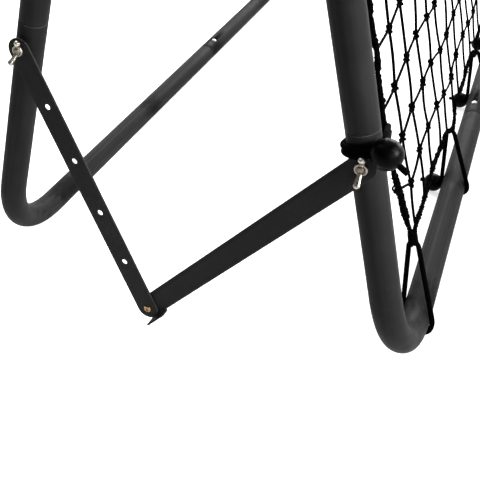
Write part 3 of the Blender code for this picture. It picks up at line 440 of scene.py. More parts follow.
def through(points: Array, steps: int = 24, closed: bool = True) -> Array:
    """Catmull-Rom curve through points: on each span, the cubic whose ends run along their neighbours' line.

    Args:
        points: Array of (N, D).
        steps: New points on each span.
        closed: Whether the curve closes on itself.

    Returns:
        Dense points.
    """
    if not closed:
        points = np.vstack([2 * points[0] - points[1], points, 2 * points[-1] - points[-2]])
    p0, p1, p2, p3 = (np.roll(points, shift, axis=0)[:, None] for shift in (1, 0, -1, -2))
    t = np.linspace(0.0, 1.0, steps, endpoint=False)[None, :, None]
    bend, twist = 2 * p0 - 5 * p1 + 4 * p2 - p3, 3 * (p1 - p2) + p3 - p0
    dense = 0.5 * (2 * p1 + (p2 - p0) * t + bend * t**2 + twist * t**3)
    if closed:
        return dense.reshape(-1, points.shape[1])
    return np.vstack([dense[1:-2].reshape(-1, points.shape[1]), points[-2:-1]])


# Finishes


class Tree:
    """Adds nodes to a material or a node group and links them."""

    def __init__(self, tree: bpy.types.NodeTree) -> None:
        """Take the tree to build in."""
        self.tree = tree

    def feed(self, node: bpy.types.Node, **inputs: Value) -> None:
        """Set or link some of a node's inputs.

        Args:
            node: The node.
            **inputs: Values or sockets, named with underscores, or i0, i1 and so on for their places.
        """
        for key, value in inputs.items():
            place = int(key[1:]) if key[0] == "i" else key.replace("_", " ")
            if isinstance(value, Socket):
                self.tree.links.new(value, node.inputs[place])
            else:
                node.inputs[place].default_value = value

    def add(self, kind: str, settings: dict | None = None, **inputs: Value) -> bpy.types.Node:
        """Add a node.

        Args:
            kind: Node type, such as ShaderNodeMath.
            settings: Attributes to set on the node.
            **inputs: Its inputs, as feed takes them.

        Returns:
            The node.
        """
        node = self.tree.nodes.new(kind)
        for key, value in (settings or {}).items():
            setattr(node, key, value)
        self.feed(node, **inputs)
        return node

    def math(self, operation: str, first: Value, second: Value = 0.0, clamp: bool = False) -> Socket:
        """Add a Math node and give its result."""
        node = self.add("ShaderNodeMath", {"operation": operation, "use_clamp": clamp}, i0=first, i1=second)
        return node.outputs[0]

    def times(self, first: Value, second: Value) -> Socket:
        """Multiply two values."""
        return self.math("MULTIPLY", first, second)

    def plus(self, first: Value, second: Value) -> Socket:
        """Add two values."""
        return self.math("ADD", first, second)

    def less(self, first: Value, second: Value) -> Socket:
        """Take the second value from the first."""
        return self.math("SUBTRACT", first, second)

    def size(self, value: Value) -> Socket:
        """Drop a value's sign."""
        return self.math("ABSOLUTE", value)

    def ridges(self, climb: Value) -> Socket:
        """Ridges, one for each whole step of the climb: |sin(pi * climb)|."""
        return self.size(self.math("SINE", self.times(climb, math.pi)))

    def split(self, vector: Value) -> Sequence[Socket]:
        """Give a vector's x, y and z."""
        return self.add("ShaderNodeSeparateXYZ", Vector=vector).outputs

    def mix(self, factor: Value, first: Value, second: Value) -> Socket:
        """Mix two colours by a factor."""
        return self.add("ShaderNodeMix", {"data_type": "RGBA"}, i0=factor, i6=first, i7=second).outputs[2]

    def ramp(self, value: Value, low: float, high: float, to_low: float = 0, to_high: float = 1) -> Socket:
        """Map a value from one span to another, smoothly and clamped."""
        ends = {"From_Min": low, "From_Max": high, "To_Min": to_low, "To_Max": to_high, "Value": value}
        return self.add("ShaderNodeMapRange", {"interpolation_type": "SMOOTHSTEP"}, **ends).outputs[0]

    def noise(self, vector: Value, scale: Value, detail: float = 2.0) -> Socket:
        """Add a noise texture and give its value."""
        return self.add("ShaderNodeTexNoise", Vector=vector, Scale=scale, Detail=detail).outputs[0]

    def spread(self, vector: Value, scale: Sequence[float]) -> Socket:
        """Stretch a pattern's places by a scale on each axis."""
        return self.add("ShaderNodeMapping", Vector=vector, Scale=scale).outputs[0]

    def bump(self, height: Value, distance: float, strength: float = 1.0, **under: Value) -> Socket:
        """Add a bump from a height, over another bump if its Normal is given."""
        inputs = {"Height": height, "Distance": distance, "Strength": strength, **under}
        return self.add("ShaderNodeBump", **inputs).outputs[0]


class Effects:
    """Node groups that several finishes share, each built once and named after its recipe."""

    def __init__(self) -> None:
        """Build every group."""
        self.made: dict[str, bpy.types.NodeTree] = {}
        self.build(self.pebble_skin, "Height", place=None, scale=1.0)
        self.build(self.drawn_streaks, "Mask", wrap=None, around=9.0, along=5.0)
        self.build(self.rubbed_patches, "Mask", place=None, scale=1.0, share=0.4)
        self.build(self.laid_plies, "Height", wrap=None, strands=3.0, turns=120.0)
        self.build(self.braided_sleeve, "Height", wrap=None, strands=8.0, turns=260.0)
        self.build(self.thin_dust, "Mask", place=None, scale=1.0)
        self.build(self.rail_share, "Mask", place=None, edge=0.60)

    def build(self, recipe: Callable[..., Socket], output: str, **inputs: float | None) -> None:
        """Build one node group.

        Args:
            recipe: Function of the group's tree and inputs that gives the socket to put out.
            output: Name of the group's output.
            **inputs: Starting value of each input, or None for a vector. Its socket has the name capitalised.
        """
        group = bpy.data.node_groups.new(recipe.__name__, "ShaderNodeTree")
        for key, value in inputs.items():
            kind = "NodeSocketVector" if value is None else "NodeSocketFloat"
            socket = group.interface.new_socket(name=key.title(), in_out="INPUT", socket_type=kind)
            if value is not None:
                socket.default_value = value
        group.interface.new_socket(name=output, in_out="OUTPUT", socket_type="NodeSocketFloat")
        source, out = group.nodes.new("NodeGroupInput"), group.nodes.new("NodeGroupOutput")
        given = {key: source.outputs[key.title()] for key in inputs}
        group.links.new(recipe(Tree(group), **given), out.inputs[output])
        self.made[recipe.__name__] = group

    def pebble_skin(self, tree: Tree, place: Socket, scale: Socket) -> Socket:
        """Fine skin of powder coat or moulded plastic: two sizes of noise added as a height."""
        fine, broad = (tree.noise(place, tree.times(scale, size)) for size in (1400.0, 420.0))
        return tree.plus(tree.times(fine, 0.45), broad)

    def drawn_streaks(self, tree: Tree, wrap: Socket, around: Socket, along: Socket) -> Socket:
        """Long soft streaks that run along a tube: noise stretched on the wrapped map, bent into a circle."""
        turn, distance = tree.split(wrap)[:2]
        angle = tree.times(turn, 2.0 * math.pi)
        x, y = (tree.times(tree.math(wave, angle), around) for wave in ("COSINE", "SINE"))
        joined = tree.add("ShaderNodeCombineXYZ", X=x, Y=y, Z=tree.times(distance, along)).outputs[0]
        fine = tree.noise(joined, 1.0, 4.0)
        broad = tree.noise(tree.spread(joined, (0.16, 0.16, 0.9)), 1.0, 2.0)
        return tree.times(tree.ramp(fine, 0.40, 0.74), tree.ramp(broad, 0.34, 0.66, 0.15, 1.0))

    def rubbed_patches(self, tree: Tree, place: Socket, scale: Socket, share: Socket) -> Socket:
        """Rubbed patches: a broad noise that lets a fine one through."""
        broad = tree.noise(place, tree.times(scale, 14.0), 3.0)
        fine = tree.noise(place, tree.times(scale, 260.0), 4.0)
        edge = tree.times(tree.less(1.0, share), 0.75)
        patch = tree.math("MULTIPLY", tree.less(broad, edge), 6.0, clamp=True)
        return tree.times(patch, tree.ramp(fine, 0.42, 0.66))

    def laid_plies(self, tree: Tree, wrap: Socket, strands: Socket, turns: Socket) -> Socket:
        """Plies of a laid twine: ridges that climb round the wrapped map."""
        around, along = tree.split(wrap)[:2]
        return tree.ridges(tree.plus(tree.times(around, strands), tree.times(along, turns)))

    def braided_sleeve(self, tree: Tree, wrap: Socket, strands: Socket, turns: Socket) -> Socket:
        """Braided sleeve: two sets of ridges that climb in opposite ways, the higher one at each place."""
        turn, distance = tree.split(wrap)[:2]
        around, along = tree.times(turn, strands), tree.times(distance, turns)
        return tree.math("MAXIMUM", *(tree.ridges(climb(around, along)) for climb in (tree.plus, tree.less)))

    def thin_dust(self, tree: Tree, place: Socket, scale: Socket) -> Socket:
        """Thin dust: a mid-sized noise with soft edges."""
        return tree.ramp(tree.noise(place, tree.times(scale, 55.0), 6.0), 0.35, 0.75)

    def rail_share(self, tree: Tree, place: Socket, edge: Socket) -> Socket:
        """Share of rail or upright: 1 on the rails, falling to 0 at the uprights, from |x|; it sets where
        streaks get painted sheen.
        """
        return tree.ramp(tree.less(tree.size(tree.split(place)[0]), edge), 0.0, 0.045, 1.0, 0.0)


class Paint(Tree):
    """A material's tree, with the shared effects, the places on the object and the piece's wrapped map."""

    def __init__(self, material: bpy.types.Material, effects: Effects) -> None:
        """Take a material's tree, the effects and both maps."""
        super().__init__(material.node_tree)
        self.effects = effects
        maps = self.add("ShaderNodeTexCoord").outputs
        self.maps = {"Place": maps["Object"], "Wrap": maps["UV"]}

    def use(self, name: str, **inputs: Value) -> Socket:
        """Add a shared effect over the map that it reads first, and give its output."""
        node = self.add("ShaderNodeGroup", {"node_tree": self.effects.made[name]})
        inputs = {key.title(): value for key, value in inputs.items()}
        self.feed(node, **{node.inputs[0].name: self.maps[node.inputs[0].name]}, **inputs)
        return node.outputs[0]


@dataclass(frozen=True)
class Finish:
    """Base of every finish: its slot in the record, colour, roughness, metal share and gloss."""

    name: str
    slot: str
    color: tuple[float, float, float]
    roughness: float
    metallic: float = 0.0
    specular: float = 0.05

    def shade(self, factor: float) -> tuple[float, float, float, float]:
        """The finish's colour times a factor."""
        return (*(min(1.0, c * factor) for c in self.color), 1.0)

    def dress(self, paint: Paint) -> dict[str, Socket]:
        """Give the sockets for the shader's inputs, named with underscores; every finish has its own way."""
        raise NotImplementedError

    def build(self, effects: Effects) -> bpy.types.Material:
        """Make the material.

        Args:
            effects: The shared node groups.

        Returns:
            The material, its shader fed with what dress works out.
        """
        material = bpy.data.materials.new(self.name)
        material.use_nodes = True
        material.diffuse_color = self.shade(1.0)
        paint = Paint(material, effects)
        shader = material.node_tree.nodes["Principled BSDF"]
        plain = {"Base_Color": self.shade(1.0), "Roughness": self.roughness, "Metallic": self.metallic}
        paint.feed(shader, Specular_IOR_Level=self.specular, **plain)
        paint.feed(shader, **self.dress(paint))
        return material


@dataclass(frozen=True)
class PowderCoat(Finish):
    """Satin powder coat: pebbled skin, drawn streaks that are painted stronger on the rails as sheen, rubbed
    patches, thin dust and painted edge highlights.
    """

    streak: float = 0.5
    wear: float = 0.35
    dust: float = 0.12
    rub: float = 0.0
    edge_shade: float = 2.0
    rub_pitch: float = 0.2605
    bend_place: float = 0.592

    def rubbing(self, paint: Paint) -> Socket:
        """Dark marks on the rails.

        Args:
            paint: The material's tree, with its maps and effects.

        Returns:
            Mask of patches round the bungees' places, |x / pitch - nearest whole| below a noisy edge, and of
            small marks at the bends.
        """
        place = paint.maps["Place"]
        x = paint.split(place)[0]
        steps = paint.math("DIVIDE", x, self.rub_pitch)
        off = paint.size(paint.less(steps, paint.math("ROUND", steps)))
        patchy = paint.noise(paint.spread(place, (1.0, 2.2, 2.2)), 85.0, 3.0)
        reach = paint.less(paint.times(patchy, 0.30), off)
        past = paint.size(paint.less(paint.size(x), self.bend_place))
        marks = paint.ramp(paint.noise(paint.spread(place, (1.0, 1.6, 0.7)), 130.0, 4.0), 0.50, 0.60)
        at_bend = paint.times(marks, paint.ramp(past, 0.010, 0.034, 0.75, 0.0))
        return paint.math("MAXIMUM", paint.ramp(reach, 0.02, 0.10), at_bend)

    def dress(self, paint: Paint) -> dict[str, Socket]:
        """Lay the streaks, patches, dust, painted edge highlights and dark marks over the coat, each as a mix
        by its mask.
        """
        rail = paint.use("rail_share")
        streaks = paint.use("drawn_streaks", around=24.0, along=2.5)
        scuffs = paint.use("rubbed_patches", share=self.wear)
        dust = paint.use("thin_dust")
        skin = paint.use("pebble_skin")
        # The streaks are drawn marks, painted four times stronger on the rails than on the uprights as sheen
        # where the light catches them.
        drawn = paint.times(streaks, paint.ramp(rail, 0.0, 1.0, 0.25 * self.streak, self.streak))
        # Past the edge mark, on swaged shoulders and stay rims, the coat is mixed lighter: a painted
        # highlight.
        edge = paint.ramp(paint.split(paint.maps["Wrap"])[1], EDGE_MARK - 0.1, EDGE_MARK, 0.0, 0.8)
        color = paint.mix(drawn, self.shade(0.72), self.shade(3.4))
        color = paint.mix(paint.times(scuffs, 0.35), color, self.shade(1.8))
        color = paint.mix(paint.times(dust, self.dust), color, self.shade(2.6))
        color = paint.mix(edge, color, self.shade(self.edge_shade))
        if self.rub > 0.0:
            # Darker at patches round the bungees' places and at small marks by the bends.
            color = paint.mix(paint.times(self.rubbing(paint), self.rub), color, self.shade(0.25))
        rough = paint.plus(paint.times(dust, 0.10), self.roughness)
        return {
            "Base_Color": color,
            "Roughness": paint.plus(rough, paint.times(scuffs, 0.08)),
            "Normal": paint.bump(skin, 0.00005, 0.6),
        }


@dataclass(frozen=True)
class PlatedMetal(Finish):
    """Plated or rolled metal: cloudy colour, fine scratches and a soft cast skin."""

    cloud: float = 0.35
    grain: float = 900.0
    dull_color: tuple[float, float, float, float] = (0.150, 0.120, 0.090, 1.0)

    def dress(self, paint: Paint) -> dict[str, Socket]:
        """Cloud and scratch the metal, dull it on bolt ends and nuts' dished faces, and paint shade into
        rivets' bores.
        """
        # The dull colour is a real dull finish on bolt ends and nut faces, and painted shade in the rivets'
        # bores.
        dish = paint.ramp(paint.split(paint.maps["Wrap"])[1], DULL_AND_SHADE_MARK - 0.40, DULL_AND_SHADE_MARK - 0.32)
        cloud = paint.noise(paint.maps["Place"], 240.0, 4.0)
        dull = paint.use("rubbed_patches", scale=3.0, share=0.5)
        cloudy = paint.times(paint.ramp(cloud, 0.35, 0.7), self.cloud)
        color = paint.mix(cloudy, self.shade(1.0), self.shade(0.62))
        color = paint.mix(paint.times(dull, 0.5), color, self.shade(0.45))
        rough = paint.ramp(cloud, 0.3, 0.75, self.roughness - 0.06, self.roughness + 0.16)
        scratch = paint.noise(paint.spread(paint.maps["Place"], (1.0, 6.0, 0.6)), self.grain, 3.0)
        return {
            "Base_Color": paint.mix(paint.times(dish, 0.85), color, self.dull_color),
            "Roughness": paint.plus(paint.times(dish, 0.2), rough),
            "Normal": paint.bump(scratch, 0.00006, 0.5, Normal=paint.bump(cloud, 0.00025, 0.5)),
        }


@dataclass(frozen=True)
class MouldedBlack(Finish):
    """Moulded plastic or rubber: handling marks in the gloss, thin dust and a pebbled skin."""

    skin: float = 0.35

    def dress(self, paint: Paint) -> dict[str, Socket]:
        """Dust the colour, mark the gloss and pebble the skin."""
        marks = paint.use("rubbed_patches", scale=2.0, share=0.42)
        dust = paint.use("thin_dust", scale=2.0)
        skin = paint.use("pebble_skin")
        return {
            "Base_Color": paint.mix(paint.times(dust, 0.3), self.shade(1.0), self.shade(2.5)),
            "Roughness": paint.plus(paint.times(marks, 0.16), self.roughness),
            "Normal": paint.bump(skin, 0.00005, self.skin),
        }


class Lay(Enum):
    """How a cord is made, with the effect that draws it."""

    TWIST = "laid_plies"
    BRAID = "braided_sleeve"


@dataclass(frozen=True)
class WovenCord(Finish):
    """Cord or twine: plies or a braid in relief, with painted highlights on the crowns and painted shade
    between the strands, and loose fibres.
    """

    lay: Lay = Lay.TWIST
    strands: float = 3.0
    turns: float = 120.0
    relief: float = 0.0004

    def dress(self, paint: Paint) -> dict[str, Socket]:
        """Raise the strands, paint highlights on their crowns and shade between them, and lighten loose
        fibres.
        """
        ridges = paint.use(self.lay.value, strands=self.strands, turns=self.turns)
        fibre = paint.noise(paint.maps["Place"], 1600.0, 3.0)
        # Crowns are mixed lighter and grooves darker: painted highlight and painted shade.
        crown = paint.mix(paint.ramp(ridges, 0.2, 1.0), self.shade(0.45), self.shade(1.35))
        loose = paint.times(paint.ramp(fibre, 0.45, 0.75), 0.5)
        return {
            "Base_Color": paint.mix(loose, crown, self.shade(2.2)),
            "Roughness": paint.ramp(fibre, 0.3, 0.7, self.roughness - 0.08, self.roughness + 0.08),
            "Normal": paint.bump(ridges, self.relief, 0.9, Normal=paint.bump(fibre, 0.00012, 0.6)),
        }


CORD_BLACK = (0.0006, 0.0006, 0.0006)

FINISHES: tuple[Finish, ...] = (
    PowderCoat("tube_powder_coat", "tube_black", (0.0090, 0.0090, 0.0091), 0.55,
               specular=0.032, streak=0.8, rub=1.0, edge_shade=3.6),
    # This colour is a little lighter than the tube coat's: painted light that makes up for less lamp light on
    # the stays.
    PowderCoat("stay_powder_coat", "stay_black", (0.0106, 0.0106, 0.0106), 0.55,
               specular=0.036, streak=0.15, wear=0.3, dust=0.06),
    PlatedMetal("nickel_plate", "zinc", (0.42, 0.385, 0.335), 0.32, 1.0),
    PlatedMetal("rolled_brass", "brass", (0.36, 0.21, 0.095), 0.24, 1.0, cloud=0.4),
    MouldedBlack("cap_plastic", "plastic_black", (0.006, 0.006, 0.006), 0.42, specular=0.10),
    MouldedBlack("ball_plastic", "bungee_black", (0.0003, 0.0003, 0.0003), 0.36, specular=0.028, skin=0.2),
    WovenCord("bungee_braid", "bungee_black", CORD_BLACK, 0.80,
              specular=0.004, lay=Lay.BRAID, strands=8.0, turns=260.0, relief=0.0003),
    WovenCord("rope_lay", "net_black", CORD_BLACK, 0.85, specular=0.004, turns=70.0, relief=0.0008),
    WovenCord("net_twine", "net_black", CORD_BLACK, 0.85,
              specular=0.004, strands=2.0, turns=190.0, relief=0.0003),
)


# Pieces


class Workshop:
    """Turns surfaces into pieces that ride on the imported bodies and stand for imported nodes."""

    def __init__(self) -> None:
        """Build every material once."""
        effects = Effects()
        self.materials = {finish.name: finish.build(effects) for finish in FINISHES}
        self.slots = {finish.name: finish.slot for finish in FINISHES}
        self.made = 0

    def cover(
        self, node: str, part: str, surface: Surface, finish: str, body: str,
        cuts: Sequence[bpy.types.Mesh] = (), **making: float,
    ) -> None:
        """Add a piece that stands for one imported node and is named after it.

        Args:
            node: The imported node.
            part: What the piece is, the end of its name.
            surface: Its shape, in place.
            finish: Name of its finish.
            body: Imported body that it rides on.
            cuts: Meshes to cut out of it.
            **making: Choices of the surface's mesh method.
        """
        name = f"{node}_{part}"
        item = bpy.data.objects.new(name, surface.mesh(name, **making))
        bpy.context.scene.collection.objects.link(item)
        if cuts:
            cut_away(item, cuts)
        item.data.materials.clear()
        item.data.materials.append(self.materials[finish])
        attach(item, body)
        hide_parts(node)
        self.made += 1
        log.info("%s: %d faces on %s", name, len(item.data.polygons), body)


def cut_away(item: bpy.types.Object, cuts: Sequence[bpy.types.Mesh]) -> None:
    """Cut closed meshes out of a piece and keep the result as its mesh.

    Args:
        item: The piece.
        cuts: Closed meshes, in place.
    """
    tools = []
    for number, mesh in enumerate(cuts):
        tool = bpy.data.objects.new(f"{item.name}_cut_{number}", mesh)
        bpy.context.scene.collection.objects.link(tool)
        modifier = item.modifiers.new("cut", "BOOLEAN")
        modifier.operation = "DIFFERENCE"
        modifier.solver = "EXACT"
        modifier.object = tool
        tools.append(tool)
    bpy.context.view_layer.update()
    result = bpy.data.meshes.new_from_object(item.evaluated_get(bpy.context.evaluated_depsgraph_get()))
    item.modifiers.clear()
    item.data = result
    for tool in tools:
        bpy.data.objects.remove(tool, do_unlink=True)


def rod(start: Triple, end: Triple, radius: float, sides: int = 32) -> bpy.types.Mesh:
    """Make a closed round rod, as a cutter.

    Args:
        start: One end.
        end: The other end.
        radius: Its radius.
        sides: Number of sides.

    Returns:
        The rod's mesh.
    """
    path = np.array([start, end], float)
    facing = X_AXIS if abs(path[1, 0] - path[0, 0]) < 1e-6 else Z_AXIS
    return Surface().grid(sweep(path, radius, facing, sides), caps=True).mesh("cutter")


def lathe(radius: Array, heights: Array, centre: Triple) -> Array:
    """Turn about X with a radius for each height and angle: place = centre + height * X + radius * ring.

    Args:
        radius: Array of (heights, sides).
        heights: Distances along X from the centre.
        centre: Place of height 0.

    Returns:
        Grid of (heights, sides, 3).
    """
    base = turned([(1.0, h) for h in heights], centre, sides=radius.shape[1])
    axis = np.asarray(centre, float) + heights[:, None, None] * np.array(X_AXIS)
    return axis + (base - axis) * radius[..., None]


class End(Enum):
    """How a tube ends: with a neck that slips into the next tube, or open."""

    NECK = "neck"
    SOCKET = "socket"


@dataclass(frozen=True)
class RailJoint:
    """A rail joint's spring button: its node, the stem of the drilled tubes' names, and its place."""

    node: str
    tubes: str
    plane: LeaningFrame
    x: float
    z: float
    inward: float


BUTTON_SHIFT = 0.030 - HALF_WIDTH
RAIL_JOINTS = (
    RailJoint("net_bottom_button", "net_lower_corner", NET_PLANE, NET_RAIL_JOINT + BUTTON_SHIFT, 0.0, 1.0),
    RailJoint("net_top_button", "net_top_corner", NET_PLANE, NET_RAIL_JOINT + BUTTON_SHIFT, FRAME_RISE, -1.0),
    RailJoint("support_bottom_button", "support_lower_corner", SUPPORT_PLANE,
              SUPPORT_RAIL_JOINT + BUTTON_SHIFT, -SUPPORT_LENGTH, 1.0),
)

# Rows of an eased tube end as shares of its lip: distance from the end, and drop below the tube's radius
EASE_ALONG, EASE_DROP = np.array([0.0, 0.3, 1.0]), np.array([0.8, 0.25, 0.0])


@dataclass
class TubeFrames:
    """The bent and straight steel tubes of both frames, with their swaged joints and drilled holes."""

    sides: int = 56
    bend_steps: int = 36
    shoulder: float = 0.0016
    lip: float = 0.0007
    button_hole: float = 0.0043
    vent_place: float = -0.0977
    vent_hole: float = 0.0017
    wrinkle: float = 0.00022
    wrinkle_rate: float = 26.0

    def arm(self, length: float, end: End) -> Pair:
        """Distances from the corner and radii down one arm, from its open end to its bend.

        Args:
            length: Distance from the corner to the joint.
            end: How the arm ends.

        Returns:
            Distances and radii. A neck is narrow up to the joint and swells over a quarter-round shoulder.
        """
        if end is End.NECK:
            t = np.linspace(0.0, 1.0, 6)
            shoulder = length - CONTACT_GAP - self.shoulder * t
            swell = NECK_RADIUS + (TUBE_RADIUS - NECK_RADIUS) * np.sqrt(1.0 - (1.0 - t) ** 2)
            tip = length + NECK_LENGTH - np.array([0.0, 0.0006, 0.0015])
            distance = np.concatenate([tip, [length + 0.004, length], shoulder])
            radius = np.concatenate([NECK_RADIUS - np.array([0.0007, 0.0002, 0.0]), [NECK_RADIUS] * 2, swell])
        else:
            distance, radius = length - self.lip * EASE_ALONG, TUBE_RADIUS - self.lip * EASE_DROP
        rest = np.linspace(distance[-1], BEND_RADIUS, 8)[1:-1]
        return np.concatenate([distance, rest]), np.concatenate([radius, np.full(len(rest), TUBE_RADIUS)])

    def bent(self, corner: Triple, arms: Sequence[tuple[Triple, float, End]]) -> Pair:
        """Path and radii of a tube with one square bend.

        Args:
            corner: Place where the arms' axes meet.
            arms: Direction, length and end of each arm.

        Returns:
            Path of (U, 3) and radii of (U, sides). The bend is a quarter circle, and its inner side has
            faint wrinkles.
        """
        corner = np.array(corner, float)
        (way_a, length_a, end_a), (way_b, length_b, end_b) = arms
        way_a, way_b = np.array(way_a, float), np.array(way_b, float)
        first, first_radius = self.arm(length_a, end_a)
        last, last_radius = self.arm(length_b, end_b)
        angle = np.linspace(0.0, np.pi / 2, self.bend_steps + 1)[:, None]
        bend = corner + BEND_RADIUS * ((1.0 - np.sin(angle)) * way_a + (1.0 - np.cos(angle)) * way_b)
        path = np.vstack([corner + first[:, None] * way_a, bend, (corner + last[:, None] * way_b)[::-1]])
        base = np.concatenate([first_radius, np.full(len(bend), TUBE_RADIUS), last_radius[::-1]])
        around = round_angles(self.sides)
        inward = unit(way_a + way_b)
        normal, side = section_axes(path, np.cross(way_a, way_b))
        facing = (normal @ inward)[:, None] * np.cos(around) + (side @ inward)[:, None] * np.sin(around)
        turn = np.concatenate([np.zeros(len(first)), angle[:, 0], np.full(len(last), np.pi / 2)])
        window = np.sin(turn * 2.0) ** 6 * (turn > 0) * (turn < np.pi / 2)
        ripple = window * (0.5 + 0.5 * np.cos(self.wrinkle_rate * turn))
        return path, base[:, None] - self.wrinkle * ripple[:, None] * np.clip(facing, 0.0, 1.0) ** 6

    def straight(self, start: Triple, end: Triple) -> Pair:
        """Path and radii of a straight tube with eased ends.

        Args:
            start: One end of its axis.
            end: The other end.

        Returns:
            Path of (U, 3) and radii of (U, sides).
        """
        start, end = np.array(start, float), np.array(end, float)
        length = float(np.linalg.norm(end - start))
        ease, drop = self.lip * EASE_ALONG, self.lip * EASE_DROP
        middle = np.linspace(self.lip, length - self.lip, 12)[1:-1]
        distance = np.concatenate([ease, middle, (length - ease)[::-1]])
        radius = TUBE_RADIUS - np.concatenate([drop, np.zeros(len(middle)), drop[::-1]])
        return start + distance[:, None] * unit(end - start), np.repeat(radius[:, None], self.sides, axis=1)

    def wall(self, path: Array, radius: Array, plane: LeaningFrame) -> Surface:
        """Close the tube's outer and inner faces into one wall.

        Args:
            path: The tube's axis, in its frame.
            radius: Outer radii.
            plane: The frame's place.

        Returns:
            The wall, whose inner face lies one wall thickness inside the outer. Its map runs past the edge
            mark on the swaged shoulders, where the coat takes a painted highlight.
        """
        outer = sweep(path, radius, Y_AXIS, self.sides)
        inner = sweep(path, np.minimum(radius, NECK_RADIUS + TUBE_WALL) - TUBE_WALL, Y_AXIS, self.sides)
        steps = np.concatenate([[0.0], np.cumsum(np.linalg.norm(np.diff(path, axis=0), axis=1))])
        girth = radius.mean(axis=1)
        shoulder = (girth > NECK_RADIUS + 0.0005) & (girth < TUBE_RADIUS - 0.0001)
        shoulder[:4] = shoulder[-4:] = False
        # Shoulder rows run past the edge mark, where the coat takes a painted highlight.
        steps += EDGE_MARK * shoulder
        both = np.clip(plane.place(np.concatenate([outer, inner[::-1]])), CAD_BOX[0], CAD_BOX[1])
        return Surface().grid(both, close_u=True, along=np.concatenate([steps, steps[::-1]]))

    def make(self, shop: Workshop) -> None:
        """Make all ten tubes, each arm given as direction, length and end."""
        up, down, right, left = (0, 0, 1), (0, 0, -1), (1, 0, 0), (-1, 0, 0)
        half, rise, foot = HALF_WIDTH, FRAME_RISE, -SUPPORT_LENGTH
        joint, leg_joint = NET_UPRIGHT_JOINT, SUPPORT_UPRIGHT_JOINT + foot
        net_up, net_down = (up, joint, End.NECK), (down, joint, End.NECK)
        net_right, net_left = (right, NET_RAIL_JOINT, End.NECK), (left, 2 * half - NET_RAIL_JOINT, End.SOCKET)
        leg_up, leg_right = (up, SUPPORT_UPRIGHT_JOINT, End.NECK), (right, SUPPORT_RAIL_JOINT, End.NECK)
        leg_left = (left, 2 * half - SUPPORT_RAIL_JOINT, End.SOCKET)
        net = {
            "lower_corner_near": self.bent((-half, 0, 0), (net_up, net_right)),
            "lower_corner_far": self.bent((half, 0, 0), (net_left, net_up)),
            "upright_far": self.straight((half, 0, joint), (half, 0, rise - joint)),
            "top_corner_far": self.bent((half, 0, rise), (net_down, net_left)),
            "top_corner_near": self.bent((-half, 0, rise), (net_right, net_down)),
            "upright_near": self.straight((-half, 0, rise - joint), (-half, 0, joint)),
        }
        support = {
            "lower_corner_near": self.bent((-half, 0, foot), (leg_up, leg_right)),
            "lower_corner_far": self.bent((half, 0, foot), (leg_left, leg_up)),
            "upright_near": self.straight((-half, 0, SUPPORT_TOP), (-half, 0, leg_joint)),
            "upright_far": self.straight((half, 0, leg_joint), (half, 0, SUPPORT_TOP)),
        }
        for label, plane, tubes in (("net", NET_PLANE, net), ("support", SUPPORT_PLANE, support)):
            for place, (path, radius) in tubes.items():
                node, wall = f"{label}_{place}", self.wall(path, radius, plane)
                shop.cover(node, "tube", wall, "tube_powder_coat", f"{label}_frame", self.holes(node, plane))

    def holes(self, node: str, plane: LeaningFrame) -> list[bpy.types.Mesh]:
        """Cutters for the spring button's hole, and the small vent in the support rail.

        Args:
            node: Name of the tube.
            plane: The frame's place.

        Returns:
            The cutters that this tube needs.
        """
        cuts = []
        for joint in RAIL_JOINTS:
            if node.startswith(joint.tubes):
                ends = np.array([[joint.x, 0.0, joint.z + joint.inward * depth] for depth in (0.006, 0.030)])
                cuts.append(rod(*plane.place(ends), self.button_hole))
        if node == "support_lower_corner_near":
            ends = np.array([[self.vent_place, y, -SUPPORT_LENGTH] for y in (-0.030, -0.006)])
            cuts.append(rod(*plane.place(ends), self.vent_hole, 16))
        return cuts


def stay_ends() -> tuple[Array, Array, Array]:
    """Find the stays' two bolts and their shared rivet, as (y, z).

    Returns:
        The net bolt, the support bolt and the rivet, which lies where two equal stays meet below the bolts.
    """
    net = NET_PLANE.spot(0.0, 0.0, NET_STAY_HEIGHT)[1:]
    support = SUPPORT_PLANE.spot(0.0, 0.0, SUPPORT_STAY_HEIGHT - SUPPORT_LENGTH)[1:]
    span = support - net
    drop = math.sqrt(STAY_LENGTH**2 - float(span @ span) / 4)
    across = unit(np.array([span[1], -span[0]]))
    return net, support, (net + support) / 2 + across * drop


NET_BOLT, SUPPORT_BOLT, RIVET = stay_ends()


